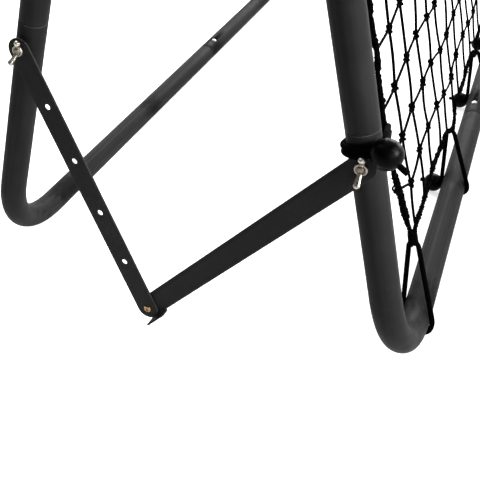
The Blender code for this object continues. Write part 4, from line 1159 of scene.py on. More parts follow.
@dataclass
class Stays:
    """Flat steel stays: the support side's with its row of holes, the net side's with a folded stop lip."""

    side_steps: int = 8
    edge: float = 0.0005
    stop_before: float = 0.0185
    stop_past: float = 0.0140
    stop_reach: float = 0.0075
    stop_tip: float = 0.0055
    stop_lean: float = 0.06
    stop_corner: float = 0.004
    stop_ease: float = 0.0003

    def basis(self, bolt: Array) -> LeaningFrame:
        """Frame of a stay: z from its bolt to its rivet, y across it, x outward from the upright's axis."""
        line = RIVET - bolt
        return LeaningFrame((float(bolt[0]), float(bolt[1])), math.atan2(-line[0], line[1]))

    def spaced(self, low: float, middle: float, high: float) -> Array:
        """Even places from low to middle and from middle to high."""
        return np.interp(np.linspace(0, 1, self.side_steps + 1), [0, 0.5, 1], [low, middle, high])

    def hole_cell(
        self, centre: float, low: float, high: float, width: float, faces: Sequence[float]
    ) -> Array:
        """Ring of plate round one hole, from its outer outline to the hole and back on the other face.

        Args:
            centre: Place of the hole along the stay.
            low: Lower end of the cell, or minus infinity where the stay's round end closes it.
            high: Upper end of the cell, or infinity where the round end closes it.
            width: Half of the flat face's width.
            faces: Inner and outer face of the plate.

        Returns:
            Grid of (rings, outline points, 3). Between outline and hole the rings lie on straight lines.
        """
        side = np.linspace(-1.0, 1.0, self.side_steps + 1)[:-1]
        arc = np.linspace(0.0, np.pi, 2 * self.side_steps + 1)[:-1]
        up = high - centre if math.isfinite(high) else 0.0
        down = centre - low if math.isfinite(low) else 0.0
        right = np.column_stack([np.full(len(side), width), side * np.where(side < 0, down, up)])
        left = -np.column_stack([np.full(len(side), width), side * np.where(side < 0, up, down)])
        top = np.column_stack([-side * width, np.full(len(side), up)])
        bottom = np.column_stack([side * width, np.full(len(side), -down)])
        if not math.isfinite(high):
            top = width * np.column_stack([np.cos(arc), np.sin(arc)])
        if not math.isfinite(low):
            bottom = width * np.column_stack([np.cos(arc + np.pi), np.sin(arc + np.pi)])
        outline = np.vstack([right, top, left, bottom])
        way = unit(outline)
        hole, collar = STAY_HOLE_RADIUS, way * (STAY_HOLE_RADIUS * 1.8)
        lifts = self.edge * np.array([0.0, 0.25, 1.0])
        radii = hole + self.edge * np.array([1.0, 0.3, 0.0])
        inner, outer = faces
        rings = [(outline, outer), (collar, outer)]
        rings += [(way * r, outer - d) for r, d in zip(radii, lifts)]
        rings += [(way * r, inner + d) for r, d in zip(radii[::-1], lifts[::-1])]
        rings += [(collar, inner), (outline, inner)]
        return np.stack([np.column_stack([np.full(len(p), x), p[:, 0], p[:, 1] + centre]) for p, x in rings])

    def rim(self, width: float, faces: Sequence[float], row: Sequence[float]) -> Array:
        """Rounded rim round the whole stay, from its outer face to its inner face.

        Args:
            width: Half of the flat face's width.
            faces: Inner and outer face of the plate.
            row: Places of the hole cells' ends along the stay.

        Returns:
            Grid of (rim profile, outline, 3). The profile is a quarter round, a straight and a quarter round.
        """
        marks = np.unique(np.concatenate([self.spaced(a, (a + b) / 2, b) for a, b in zip(row, row[1:])]))
        arc = np.linspace(0.0, np.pi, 2 * self.side_steps + 1)[1:-1]
        one, none = np.ones(len(marks)), np.zeros(len(marks))
        right, left = np.column_stack([one, none, marks]), np.column_stack([-one, none, marks[::-1]])
        top = np.column_stack([np.cos(arc), np.sin(arc), np.full(len(arc), STAY_LENGTH)])
        bottom = np.column_stack([-np.cos(arc), -np.sin(arc), np.zeros(len(arc))])
        outline = np.vstack([right, top, left, bottom])
        inner, outer = faces
        t = np.linspace(0.0, np.pi / 2, 4)
        swell, dip = self.edge * np.sin(t), self.edge * (1 - np.cos(t))
        depth = np.concatenate([outer - dip, inner + dip[::-1]])
        reach = width + np.concatenate([swell, swell[::-1]])
        y = reach[:, None] * outline[:, 0]
        z = outline[:, 2] + reach[:, None] * outline[:, 1]
        return np.stack([np.broadcast_to(depth[:, None], y.shape), y, z], axis=-1)

    def plate(self, inner: float, holes: Sequence[int]) -> Surface:
        """The whole stay in its own frame.

        Args:
            inner: Distance of the inner face from the upright's axis.
            holes: Marks of the row that are drilled.

        Returns:
            The plate, made of hole cells, plain cells and the rim, which meet edge to edge.
        """
        surface = Surface()
        faces = (inner, inner + STAY_PLATE)
        width = STAY_WIDTH / 2 - self.edge
        pitch = STAY_LENGTH / STAY_SPACES
        bounds = [0.0] + [pitch * (k + 0.5) for k in range(STAY_SPACES)] + [STAY_LENGTH]
        for mark in range(STAY_SPACES + 1):
            low = -math.inf if mark == 0 else bounds[mark]
            high = math.inf if mark == STAY_SPACES else bounds[mark + 1]
            if mark in holes:
                surface.grid(self.hole_cell(pitch * mark, low, high, width, faces))
                continue
            across = np.linspace(-width, width, self.side_steps + 1)
            z, y = np.meshgrid(self.spaced(low, pitch * mark, high), across, indexing="ij")
            for face in faces:
                surface.grid(np.stack([np.full(z.shape, face), y, z], axis=-1), close_v=False)
        rim = self.rim(width, faces, bounds)
        # The rim runs past the edge mark, so the stay's rounded edges take a painted highlight.
        return surface.grid(rim, along=np.full(len(rim), EDGE_MARK + 0.2))

    def lip(self, inner: float) -> Array:
        """Stop lip folded out of the net stay's lower edge.

        Args:
            inner: Distance of the stay's inner face from the upright's axis.

        Returns:
            Grid of (along, section, 3): a root in the stay's plane, a tight fold, and a web that leans out
            and whose reach rises over a rounded corner. Its end slants, cut = tip * (1 - out / reach).
        """
        start, end = STAY_LENGTH - self.stop_before, STAY_LENGTH + self.stop_past
        t = np.linspace(0.0, 1.0, 28)
        along = start + (end - start) * t
        rise = 1.0 - (1.0 - np.clip((along - start) / self.stop_corner, 0.0, 1.0)) ** 2
        reach = STAY_PLATE + self.stop_reach * np.sqrt(np.clip(rise, 0.02, 1.0))
        edge, thick, ease = STAY_WIDTH / 2 + CONTACT_GAP, STAY_PLATE, self.stop_ease
        root = np.interp(along, [STAY_LENGTH, STAY_LENGTH + 0.004], [edge - 0.004, edge - 0.0002])
        spread = [f * reach for f in (0.4, 0.6, 0.8, 0.92)] + [reach - ease]
        corners = [(0.0, root), (0.0, edge + 0.6 * thick), (0.12 * thick, edge + 0.88 * thick)]
        corners += [(out, edge + thick) for out in spread]
        corners += [(reach, edge + thick - ease), (reach, edge + ease)]
        corners += [(out, edge) for out in spread[::-1]]
        corners += [(np.minimum(thick, 0.3 * reach), root)]
        rows = []
        for out, y in corners:
            out = np.broadcast_to(out, along.shape)
            cut = t * self.stop_tip * np.clip(1.0 - out / reach, 0.0, 1.0)
            lean = self.stop_lean * np.maximum(out - thick, 0.0)
            rows.append(np.stack([inner + out, y + lean, along - cut], axis=-1))
        return np.stack(rows, axis=1)

    def make(self, shop: Workshop) -> None:
        """Make the four stays."""
        kinds = (
            ("net_stay", NET_BOLT, NET_STAY_INNER, (0, STAY_SPACES)),
            ("support_stay", SUPPORT_BOLT, SUPPORT_STAY_INNER, range(STAY_SPACES + 1)),
        )
        for label, bolt, inner, holes in kinds:
            basis = self.basis(bolt)
            for side in Side:
                surface = self.plate(inner, holes)
                if label == "net_stay":
                    surface.grid(self.lip(inner), caps=True)
                surface.points = [basis.place(p) for p in surface.points]
                for places in surface.points:
                    places[:, 0] = side.value * (HALF_WIDTH + places[:, 0])
                node = f"{label}_{side.label}"
                shop.cover(node, "plate", surface, "stay_powder_coat", node, weld=0.00002, sharp=50.0)


@dataclass
class StayFasteners:
    """Wing bolts, washers, wing nuts and the stays' hollow rivets."""

    shank: float = 0.003
    head: float = 0.0075
    head_height: float = 0.0035
    bolt_end: float = 0.0006
    thread_pitch: float = 0.001
    thread_depth: float = 0.00032
    hub: float = 0.0058
    hub_top: float = 0.0046
    nut_height: float = 0.0030
    wing_knots: Profile = ((0.0043, 0.0016), (0.0062, 0.0027), (0.0090, 0.0049), (0.0124, 0.0078))
    wing_width: float = 0.0024
    wing_squareness: float = 2.6
    washer_radius: float = 0.0065
    washer_bore: float = 0.0034
    nut_turns: tuple[float, float] = (math.radians(16.5), math.radians(11.4))

    def bolt(self, height: float, plane: LeaningFrame, inner: float) -> Surface:
        """Round-headed bolt through the tube with a threaded end.

        Args:
            height: Place of the bolt up the upright.
            plane: The upright's frame.
            inner: Distance of its stay's inner face from the upright's axis.

        Returns:
            The bolt on the far side, as a domed head and shank, and a thread whose radius is a
            saw-tooth wave of angle and height.
        """
        centre = plane.spot(HALF_WIDTH, 0.0, height)
        seat = inner + STAY_PLATE + CONTACT_GAP
        tip = seat + self.nut_height + self.bolt_end
        under, rise = -TUBE_RADIUS - CONTACT_GAP, self.head_height
        profile = [(0.0001, under - rise), (self.head * 0.55, under - rise * 0.9),
                   (self.head, under - rise * 0.3), (self.head, under), (self.shank, under),
                   (self.shank, seat)]
        heights = np.arange(seat, tip - 0.0006, self.thread_pitch / 5)
        wave = (heights[:, None] / self.thread_pitch - round_angles(40) / (2 * np.pi)) % 1.0
        thread = lathe(self.shank - self.thread_depth * np.abs(2.0 * wave - 1.0), heights, centre)
        end = [(self.shank * 0.86, tip - 0.0003), (self.shank * 0.70, tip), (0.0001, tip)]
        rows = np.concatenate([turned(rounded(profile, 0.0016), centre), thread, turned(end, centre)])
        is_end = np.arange(len(rows)) >= len(rows) - len(end)
        return Surface().grid(rows, caps=True, along=np.where(is_end, DULL_AND_SHADE_MARK, BRIGHT_MARK))

    def washer(self, height: float, plane: LeaningFrame) -> Surface:
        """Thin washer between upright and stay.

        Args:
            height: Place of the bolt up the upright.
            plane: The upright's frame.

        Returns:
            The washer, a ring with eased outer edges.
        """
        centre = plane.spot(HALF_WIDTH, 0.0, height)
        low = TUBE_RADIUS + CONTACT_GAP
        high = low + WASHER
        outer, bore, ease = self.washer_radius, self.washer_bore, 0.0002
        ring = [(bore, low), (outer - ease, low), (outer, low + ease),
                (outer, high - ease), (outer - ease, high), (bore, high)]
        return Surface().grid(turned(ring, centre), close_u=True)

    def wing(self, flip: float) -> Array:
        """One wing as a bar: an ellipse carried out from the hub.

        Its radius is width * sqrt(1 - k^2) over its rounded end.

        Args:
            flip: 1 or -1, the side of the hub that the wing stands on.

        Returns:
            Grid of (path, sides, 3) in the nut's frame: x across the bar, y out from the axis, z up the axis.
        """
        line = resample(through(np.array(self.wing_knots), 8, closed=False), 0.0004, False)[0]
        path = np.stack([np.zeros(len(line)), flip * line[:, 0], line[:, 1]], axis=1)
        way = unit(path[-1] - path[-2])
        k = np.sin(np.linspace(0.0, np.pi / 2, 7))[1:]
        k[-1] = 0.995
        bulge = 1.25 * self.wing_width
        path = np.vstack([path, path[-1] + way * (k * bulge)[:, None]])
        t = np.linspace(0.0, 1.0, len(line))
        size = np.concatenate([self.wing_width * (0.86 + 0.39 * t**2), bulge * np.sqrt(1.0 - k**2)])
        angle, power = round_angles(20), self.wing_squareness
        section = (np.abs(np.cos(angle)) ** power + np.abs(np.sin(angle) / 0.84) ** power) ** (-1.0 / power)
        return sweep(path, size[:, None] * section, X_AXIS, 20)

    def wing_nut(self, height: float, plane: LeaningFrame, inner: float, nut_turn: float) -> Surface:
        """Wing nut on the far side.

        Args:
            height: Place of the bolt up the upright.
            plane: The upright's frame.
            inner: Distance of its stay's inner face from the upright's axis.
            nut_turn: Angle of the wings from the upright.

        Returns:
            A low turned hub and two cast wings, turned a little about the bolt.
        """
        seat = inner + STAY_PLATE + CONTACT_GAP
        centre = plane.spot(HALF_WIDTH + seat, 0.0, height)
        bore = self.shank + 0.0003
        top, dish = self.nut_height, self.nut_height - 0.0007
        ring = [(bore, 0.0002), (self.hub - 0.0004, 0.0), (self.hub, 0.0005), (self.hub, top - 0.0006),
                (self.hub - 0.0005, top), (self.hub_top + 0.0003, top), (self.hub_top, dish + 0.0001),
                (self.hub_top - 0.0004, dish), (bore + 0.0002, dish), (bore, dish - 0.0003)]
        marks = np.linspace(BRIGHT_MARK, DULL_AND_SHADE_MARK, len(ring))
        surface = Surface().grid(turned(ring, centre), close_u=True, along=marks)
        turn = LeaningFrame((float(centre[1]), float(centre[2])), plane.turn + nut_turn)
        for flip in (1.0, -1.0):
            wing = self.wing(flip)
            placed = turn.place(np.stack([wing[..., 2] + centre[0], wing[..., 0], wing[..., 1]], axis=-1))
            surface.grid(placed, caps=True)
        return surface

    def rivet(self) -> Surface:
        """Hollow rivet at the stays' shared end: a rolled rim round a deep bore."""
        centre = np.array([HALF_WIDTH + SUPPORT_STAY_INNER + STAY_PLATE / 2, RIVET[0], RIVET[1]])
        face = STAY_PLATE / 2 + CONTACT_GAP
        low = -STAY_PLATE / 2
        rolled = [(40, 0), (43, 2), (41, 5), (35, 9), (29, 12), (23, 13), (18, 9), (16, 2), (15, -6)]
        rolled = [(radius * 0.0001, face + rise * 0.0001) for radius, rise in rolled]
        rim = [(0.003, low), (0.003, face), *rolled, (0.0015, low)]
        # The bore's rows take the dark dull colour: painted shade in the hole.
        marks = np.where(np.arange(len(rim)) < 8, BRIGHT_MARK, DULL_AND_SHADE_MARK)
        return Surface().grid(turned(rim, centre), close_u=True, along=marks)

    def make(self, shop: Workshop) -> None:
        """Make the bolts, washers, nuts and rivets of both sides."""
        kinds = (
            ("net", NET_STAY_HEIGHT, NET_PLANE, NET_STAY_INNER),
            ("support", SUPPORT_STAY_HEIGHT - SUPPORT_LENGTH, SUPPORT_PLANE, SUPPORT_STAY_INNER),
        )
        for side in Side:
            mirror = side is Side.NEAR
            for (label, height, plane, inner), nut_turn in zip(kinds, self.nut_turns):
                body, nut = f"{label}_frame", f"{label}_wing_nut_{side.label}"
                pieces = (
                    (f"{label}_wing_bolt_{side.label}", self.bolt(height, plane, inner), body),
                    (f"{label}_spacer_{side.label}", self.washer(height, plane), body),
                    (nut, self.wing_nut(height, plane, inner, nut_turn), nut),
                )
                for node, surface, rides in pieces:
                    shop.cover(node, "metal", surface, "nickel_plate", rides, mirror=mirror)
            node, stay = f"stay_rivet_{side.label}", f"support_stay_{side.label}"
            shop.cover(node, "metal", self.rivet(), "rolled_brass", stay, mirror=mirror)


@dataclass
class SpringButtons:
    """Spring buttons of the three rail joints, each a domed pin on a bent strip inside the neck."""

    radius: float = 0.004
    stand_out: float = 0.0018
    dome: float = 0.0022
    strip: float = 0.0008
    strip_width: float = 0.008
    strip_length: float = 0.030
    strip_depth: float = 0.0177
    strip_top: float = 0.0101

    def make(self, shop: Workshop) -> None:
        """Make the three buttons."""
        top, base = TUBE_RADIUS + self.stand_out, self.strip_top - self.strip / 2
        quarter = np.linspace(0.0, np.pi / 2, 8)
        dome = [(self.radius * math.cos(a) + 0.0001, top - self.dome * (1.0 - math.sin(a))) for a in quarter]
        profile = [(0.0001, base), (self.radius, base), *dome]
        for joint in RAIL_JOINTS:
            centre = joint.plane.spot(joint.x, 0.0, joint.z)
            axis = joint.plane.direction((0.0, 0.0, joint.inward))
            surface = Surface().grid(turned(profile, centre, axis, 32), caps=True)
            surface.grid(self.clip(joint), caps=True)
            shop.cover(joint.node, "metal", surface, "nickel_plate", joint.node)

    def clip(self, joint: RailJoint) -> Array:
        """Bent spring strip: a flat section carried along a straight, a half circle and a return.

        Args:
            joint: The rail joint that it sits in.

        Returns:
            Grid of (path, section, 3).
        """
        radius = (self.strip_depth - self.strip) / 2
        middle = self.strip_top - self.strip_depth / 2
        arc = np.linspace(np.pi / 2, 3 * np.pi / 2, 14)
        turn_x = -self.strip_length + self.strip_depth / 2
        bow = np.stack([turn_x + radius * np.cos(arc), radius * np.sin(arc)], axis=1)
        path = np.vstack([[(0.006, radius)], bow, [(0.004, -radius * 0.72)]])
        height = joint.z + joint.inward * (middle + path[:, 1])
        line = np.stack([joint.x + path[:, 0], np.zeros(len(path)), height], axis=1)
        first, second = section_axes(line, Y_AXIS)
        w, h = self.strip_width / 2, self.strip / 2
        ring = [(-w, -h), (w, -h), (w, h), (-w, h)]
        return joint.plane.place(np.stack([line + a * first + b * second for a, b in ring], axis=1))


@dataclass
class TopHinges:
    """Brackets, rivets, bolts, nuts and end caps where the support frame hangs from the net frame."""

    plate: float = 0.003
    height: float = 0.028
    margin: float = 0.014
    corner: float = 0.010
    hex_width: float = 0.013
    bolt_radius: float = 0.004
    bolt_head: float = 0.0053
    bolt_tail: float = 0.002
    nut_height: float = 0.008
    rivet_radius: float = 0.0055
    rivet_shank: float = 0.003
    rivet_rise: float = 0.003

    def bracket(self) -> Surface:
        """U bracket round the net upright.

        Returns:
            A plate carried round a U path, straight, half circle, straight, whose height falls over
            a quarter round at each ear's end.
        """
        middle = TUBE_RADIUS + CONTACT_GAP + self.plate / 2
        back = HINGE_OFFSET + self.margin
        corner = self.corner * (1 - np.cos(np.linspace(0, np.pi / 2, 9)))
        ear = back - np.concatenate([corner, [0.02, 0.04, back * 0.999]])
        arc = np.linspace(0.0, np.pi, 33)[1:-1]
        flank = np.full(len(ear), middle)
        x = np.concatenate([flank, middle * np.cos(arc), -flank])
        y = np.concatenate([ear, -middle * np.sin(arc), ear[::-1]])
        path = np.stack([x, y, np.full(len(x), HINGE_HEIGHT)], axis=1)
        first, second = section_axes(path, Z_AXIS)
        tip = np.clip(self.corner - (back - y), 0.0, self.corner)
        tall = self.height / 2 - self.corner + np.sqrt(self.corner**2 - tip**2)
        h, ease = self.plate / 2, 0.0005
        ring = [(-1, -h + ease), (-1, h - ease), (-0.97, h), (0.97, h)]
        ring += [(-a, -b) for a, b in ring]
        grid = np.stack([path + a * tall[:, None] * first + b * second for a, b in ring], axis=1)
        return Surface().grid(NET_PLANE.place(grid + (HALF_WIDTH, 0.0, 0.0)), caps=True, flip=True)

    def hexagon(self, low: float, high: float, sign: float) -> Array:
        """Bolt head or nut: radius is the smaller of a hexagon's and a chamfer cone's at each angle.

        Args:
            low: Face toward the plate, along the bolt.
            high: Outer face.
            sign: 1 if the outer face has the chamfer, -1 if the inner.

        Returns:
            Grid of (heights, angles, 3) about the hinge bolt.
        """
        flat = self.hex_width / 2 / np.cos((round_angles(48) + np.pi / 6) % (np.pi / 3) - np.pi / 6)
        heights = np.linspace(low, high, 9)
        outer = (high - heights) if sign > 0 else (heights - low)
        cone = self.hex_width / 2 * 0.93 + 1.7 * outer
        pivot = NET_PLANE.spot(HALF_WIDTH, HINGE_OFFSET, HINGE_HEIGHT)
        return lathe(np.minimum(flat, cone[:, None]), heights, pivot)

    def rivet(self, face: float) -> Surface:
        """Rivet that holds a bracket: a shank with a dome at each end, turned about X.

        Args:
            face: Distance of the bracket's outer face from the upright's axis.

        Returns:
            The rivet.
        """
        quarter = np.linspace(0.0, np.pi / 2, 7)
        wide, rise = self.rivet_radius, self.rivet_rise
        dome = [(wide * math.cos(a) + 0.0001, face + rise * math.sin(a)) for a in quarter]
        shank = [(self.rivet_shank, -face), (self.rivet_shank, face)]
        centre = NET_PLANE.spot(HALF_WIDTH, 0.0, HINGE_HEIGHT)
        return Surface().grid(turned([(r, -h) for r, h in dome[::-1]] + shank + dome, centre), caps=True)

    def cap(self) -> Surface:
        """End cap of a support upright: a plug in the tube and a low lid, turned about the tube's axis."""
        top, deep, plug = SUPPORT_TOP + CONTACT_GAP, SUPPORT_TOP - 0.006, NECK_RADIUS - CONTACT_GAP
        crown = [(0.0001, deep), (NECK_RADIUS - 0.0006, deep), (plug, SUPPORT_TOP - 0.005), (plug, top),
                 (TUBE_RADIUS - 0.0003, top), (TUBE_RADIUS, top + 0.0003),
                 (TUBE_RADIUS - 0.0001, top + 0.0013), (TUBE_RADIUS * 0.92, top + 0.0024),
                 (TUBE_RADIUS * 0.6, top + 0.0034), (0.0001, top + 0.004)]
        centre = SUPPORT_PLANE.spot(HALF_WIDTH, 0.0, 0.0)
        return Surface().grid(turned(crown, centre, SUPPORT_PLANE.direction(Z_AXIS), 56), caps=True)

    def make(self, shop: Workshop) -> None:
        """Make both hinges and both end caps."""
        face = TUBE_RADIUS + 2 * CONTACT_GAP + self.plate
        pivot = NET_PLANE.spot(HALF_WIDTH, HINGE_OFFSET, HINGE_HEIGHT)
        end = -(face + self.nut_height + self.bolt_tail)
        radius = self.bolt_radius
        shaft = [(radius * 0.8, end), (radius, end + 0.0008), (radius, face)]
        bolt = Surface().grid(self.hexagon(face, face + self.bolt_head, 1.0), caps=True)
        bolt.grid(turned(shaft, pivot), caps=True)
        nut = Surface().grid(self.hexagon(-(face + self.nut_height), -face, -1.0), caps=True)
        kinds = (
            ("hinge_bracket", "plate", self.bracket(), "stay_powder_coat", "net_frame"),
            ("bracket_rivet", "metal", self.rivet(face), "stay_powder_coat", "net_frame"),
            ("hinge_bolt", "metal", bolt, "nickel_plate", "net_frame"),
            ("hinge_nut", "metal", nut, "nickel_plate", "net_frame"),
            ("support_end_cap", "plastic", self.cap(), "cap_plastic", "support_frame"),
        )
        for side in Side:
            for stem, part, surface, finish, body in kinds:
                shop.cover(f"{stem}_{side.label}", part, surface, finish, body, mirror=side is Side.NEAR)


def net_cord(
    surface: Surface, path: Array, radius: float | Array, facing: Triple, sides: int,
    closed: bool = False, along: Array | None = None,
) -> None:
    """Sweep cords along paths in the net frame and add them to a surface.

    Args:
        surface: Surface that takes them.
        path: Array of (..., U, 3).
        radius: As sweep takes it.
        facing: Direction from which the angle round a cord is counted.
        sides: Number of sides.
        closed: Whether a cord's end meets its start; an open one has capped ends.
        along: Map value of each point, or none for the length along the cord.
    """
    grid = NET_PLANE.place(sweep(path, radius, facing, sides, closed))
    surface.grid(grid, close_u=closed, caps=not closed, along=along)


def upright_path(line: Array) -> Array:
    """Make (x, 0, z) places of (x, z) ones."""
    return np.stack([line[:, 0], np.zeros(len(line)), line[:, 1]], axis=1)


def rope_line() -> Array:
    """Border rope's closed route in the net frame.

    Returns:
        Dense places as (x, z): a curve through points counted from a lower corner, mirrored both ways.
    """
    side = np.array([
        (0.1255, 0.0835), (0.1215, 0.0964), (0.1106, 0.1183), (0.1033, 0.1374), (0.0972, 0.1576),
        (0.0875, 0.1804), (0.0793, 0.2006), (0.0695, 0.2280), (0.0660, 0.2520), (0.0658, 0.2877),
        (0.0668, 0.3088), (0.0706, 0.3270), (0.0667, 0.3392), (0.0646, 0.3566), (0.0625, 0.3900),
        (0.0640, 0.4400),
    ])
    rail = np.array([
        (0.1300, 0.0812), (0.1382, 0.0883), (0.1500, 0.0922), (0.1828, 0.0921), (0.2160, 0.0945),
        (0.2580, 0.0988), (0.2968, 0.0972), (0.3400, 0.0935), (0.3622, 0.0925), (0.3905, 0.0800),
        (0.4120, 0.0745), (0.4266, 0.0800), (0.4340, 0.0910), (0.4495, 0.0975), (0.4920, 0.0935),
        (0.5283, 0.0935), (0.5506, 0.0985), (0.5890, 0.0985), (0.6213, 0.0960),
    ])
    middle = FRAME_RISE / 2
    down = np.vstack([[(0.068, middle)], side[::-1], rail]) - (HALF_WIDTH, middle)
    lower = np.vstack([down, [(0.0, 0.082 - middle)], (down * (-1.0, 1.0))[::-1]])
    upper = (lower * (1.0, -1.0))[::-1][1:-1]
    return through(np.vstack([lower, upper]) + (0.0, middle))


ROPE_LINE = rope_line()


def rope_crossings(at: Array, axis: int) -> Pair:
    """Find where the rope passes given places, on both sides of the frame.

    Args:
        at: Places along the other axis.
        axis: 0 to find x at heights, 1 to find z at places along the frame.

    Returns:
        The rope's lower and upper coordinate at each place.
    """
    middle = 0.0 if axis == 0 else FRAME_RISE / 2
    out = []
    for keep in (ROPE_LINE[:, axis] < middle, ROPE_LINE[:, axis] > middle):
        part = ROPE_LINE[keep]
        gap = np.abs(part[None, :, 1 - axis] - at[:, None])
        near = np.argsort(gap, axis=1)[:, :2]
        out.append(part[near, axis].mean(axis=1))
    return out[0], out[1]


@dataclass
class Netting:
    """Knotted square net with its twine-wrapped border rope."""

    twine: float = 0.00148
    columns: int = 19
    rows: int = 13
    side_margin: float = 0.129
    foot_margin: float = 0.160
    strand_points: int = 6
    wander: float = 0.0016
    bow: float = 0.0005
    row_drop: float = 0.0021
    lowest_tie: float = 0.170
    knot_size: float = 0.00175
    rope_step: float = 0.0016
    rope_lay: float = 0.028
    rope_lobe: float = 0.13
    wrap_pitch: float = 0.0062
    whip_turns: int = 7
    whip_foot: float = 0.0805
    whip_rise: float = 0.0150
    whip_place: float = 0.1270
    loop_place: float = 0.0795
    loop_height: float = 0.1775
    moved: dict[tuple[int, int], tuple[float, float]] = field(default_factory=lambda: {
        (0, 0): (14.6, -10.9), (1, 0): (11.9, -1.2), (2, 0): (9.7, -0.4), (3, 0): (11.6, -2.5),
        (4, 0): (5.2, -10.1), (5, 0): (7.7, -14.6), (6, 0): (-0.9, -2.4), (7, 0): (8.9, 0.1),
        (8, 0): (8.4, -2.7), (9, 0): (9.3, -5.9), (0, 1): (-0.3, -4.6), (1, 1): (-4.4, 3.2),
        (2, 1): (2.0, 1.8), (3, 1): (-3.0, 3.5), (4, 1): (2.7, -6.5), (5, 1): (-4.5, -5.3),
        (6, 1): (1.2, -0.1), (0, 2): (-9.6, -1.6), (1, 2): (-6.4, 3.4), (2, 2): (-10.1, 7.1),
        (3, 2): (-4.0, 4.2), (4, 2): (-10.7, 1.1), (0, 3): (-6.5, -0.1), (1, 3): (-12.1, 8.4),
    })

    def knots(self) -> Array:
        """Places of the knots and of the twines' ends on the rope.

        Returns:
            Array of (columns + 2, rows + 2, 2) as (x, z). Knots stand on an even grid with a small seeded
            wander, and those that the photograph shows are moved, in millimetres, to where it has them.
        """
        xs = np.linspace(self.side_margin - HALF_WIDTH, HALF_WIDTH - self.side_margin, self.columns)
        zs = np.linspace(self.foot_margin, FRAME_RISE - self.foot_margin, self.rows)
        grid = np.zeros((self.columns + 2, self.rows + 2, 2))
        grid[1:-1, 1:-1] = np.stack(np.meshgrid(xs, zs, indexing="ij"), axis=-1)
        zs -= self.row_drop
        source = np.random.default_rng(7)
        grid[1:-1, 1:-1] += source.normal(0.0, self.wander, (self.columns, self.rows, 2))
        for (i, j), (dx, dz) in self.moved.items():
            grid[i + 1, j + 1] = (xs[i] + dx / 1000.0, zs[j] + dz / 1000.0)
        low, high = rope_crossings(grid[1, 1:-1, 1], 0)[0], rope_crossings(grid[-2, 1:-1, 1], 0)[1]
        grid[0, 1:-1] = np.stack([low, grid[1, 1:-1, 1]], axis=-1)
        grid[0, 1] = (rope_crossings(np.array([self.lowest_tie]), 0)[0][0], self.lowest_tie)
        grid[-1, 1:-1] = np.stack([high, grid[-2, 1:-1, 1]], axis=-1)
        low, high = rope_crossings(grid[1:-1, 1, 0], 1)[0], rope_crossings(grid[1:-1, -2, 0], 1)[1]
        grid[1:-1, 0] = np.stack([grid[1:-1, 1, 0], low], axis=-1)
        grid[1:-1, -1] = np.stack([grid[1:-1, -2, 0], high], axis=-1)
        return grid

    def strands(self, starts: Array, ends: Array, seed: int) -> Array:
        """Twines between pairs of places, each with a small bow: offset = bow * sin(pi t).

        Args:
            starts: Array of (N, 2) as (x, z).
            ends: Array of (N, 2).
            seed: Seed of the bows.

        Returns:
            Paths of (N, points, 3) in the net frame.
        """
        t = np.linspace(0.0, 1.0, self.strand_points)
        source = np.random.default_rng(seed)
        bow = source.normal(0.0, self.bow, (len(starts), 2))
        line = starts[:, None] + (ends - starts)[:, None] * t[None, :, None]
        way = unit(ends - starts)
        sideways = np.stack([-way[:, 1], way[:, 0]], axis=1)
        line = line + (bow[:, 0, None] * np.sin(np.pi * t))[..., None] * sideways[:, None]
        depth = bow[:, 1, None] * np.sin(np.pi * t) * 1.4
        return np.stack([line[..., 0], depth, line[..., 1]], axis=-1)

    def knot_forms(self, places: Array, seed: int) -> Array:
        """Knots as small overhand loops, each a trefoil curve.

        Args:
            places: Array of (N, 2) as (x, z).
            seed: Seed of their turns and sizes.

        Returns:
            Closed paths of (N, points, 3) in the net frame.
        """
        source = np.random.default_rng(seed)
        t = np.linspace(0.0, 2.0 * np.pi, 17)[:-1]
        size = self.knot_size * source.uniform(0.9, 1.2, len(places))
        turn = source.uniform(0.0, 2.0 * np.pi, len(places))
        x = (np.sin(t) + 1.35 * np.sin(2 * t))[None] * size[:, None]
        z = (np.cos(t) - 1.35 * np.cos(2 * t))[None] * size[:, None]
        y = -np.sin(3 * t)[None] * size[:, None] * 1.1
        c, s = np.cos(turn)[:, None], np.sin(turn)[:, None]
        path = np.stack([x * c - z * s, y + 0 * x, x * s + z * c], axis=-1)
        path[..., 0] += places[:, 0, None]
        path[..., 2] += places[:, 1, None]
        return path

    def net(self) -> Surface:
        """All twines and knots of the net."""
        grid = self.knots()
        surface = Surface()
        across = np.stack([grid[:-1, 1:-1], grid[1:, 1:-1]], axis=2).reshape(-1, 2, 2)
        upward = np.stack([grid[1:-1, :-1], grid[1:-1, 1:]], axis=2).reshape(-1, 2, 2)
        for seed, pairs in ((11, across), (12, upward)):
            net_cord(surface, self.strands(pairs[:, 0], pairs[:, 1], seed), self.twine, Y_AXIS, 6)
        knots = self.knot_forms(grid[1:-1, 1:-1].reshape(-1, 2), 13)
        net_cord(surface, knots, self.twine * 1.1, Y_AXIS, 5, closed=True)
        return surface

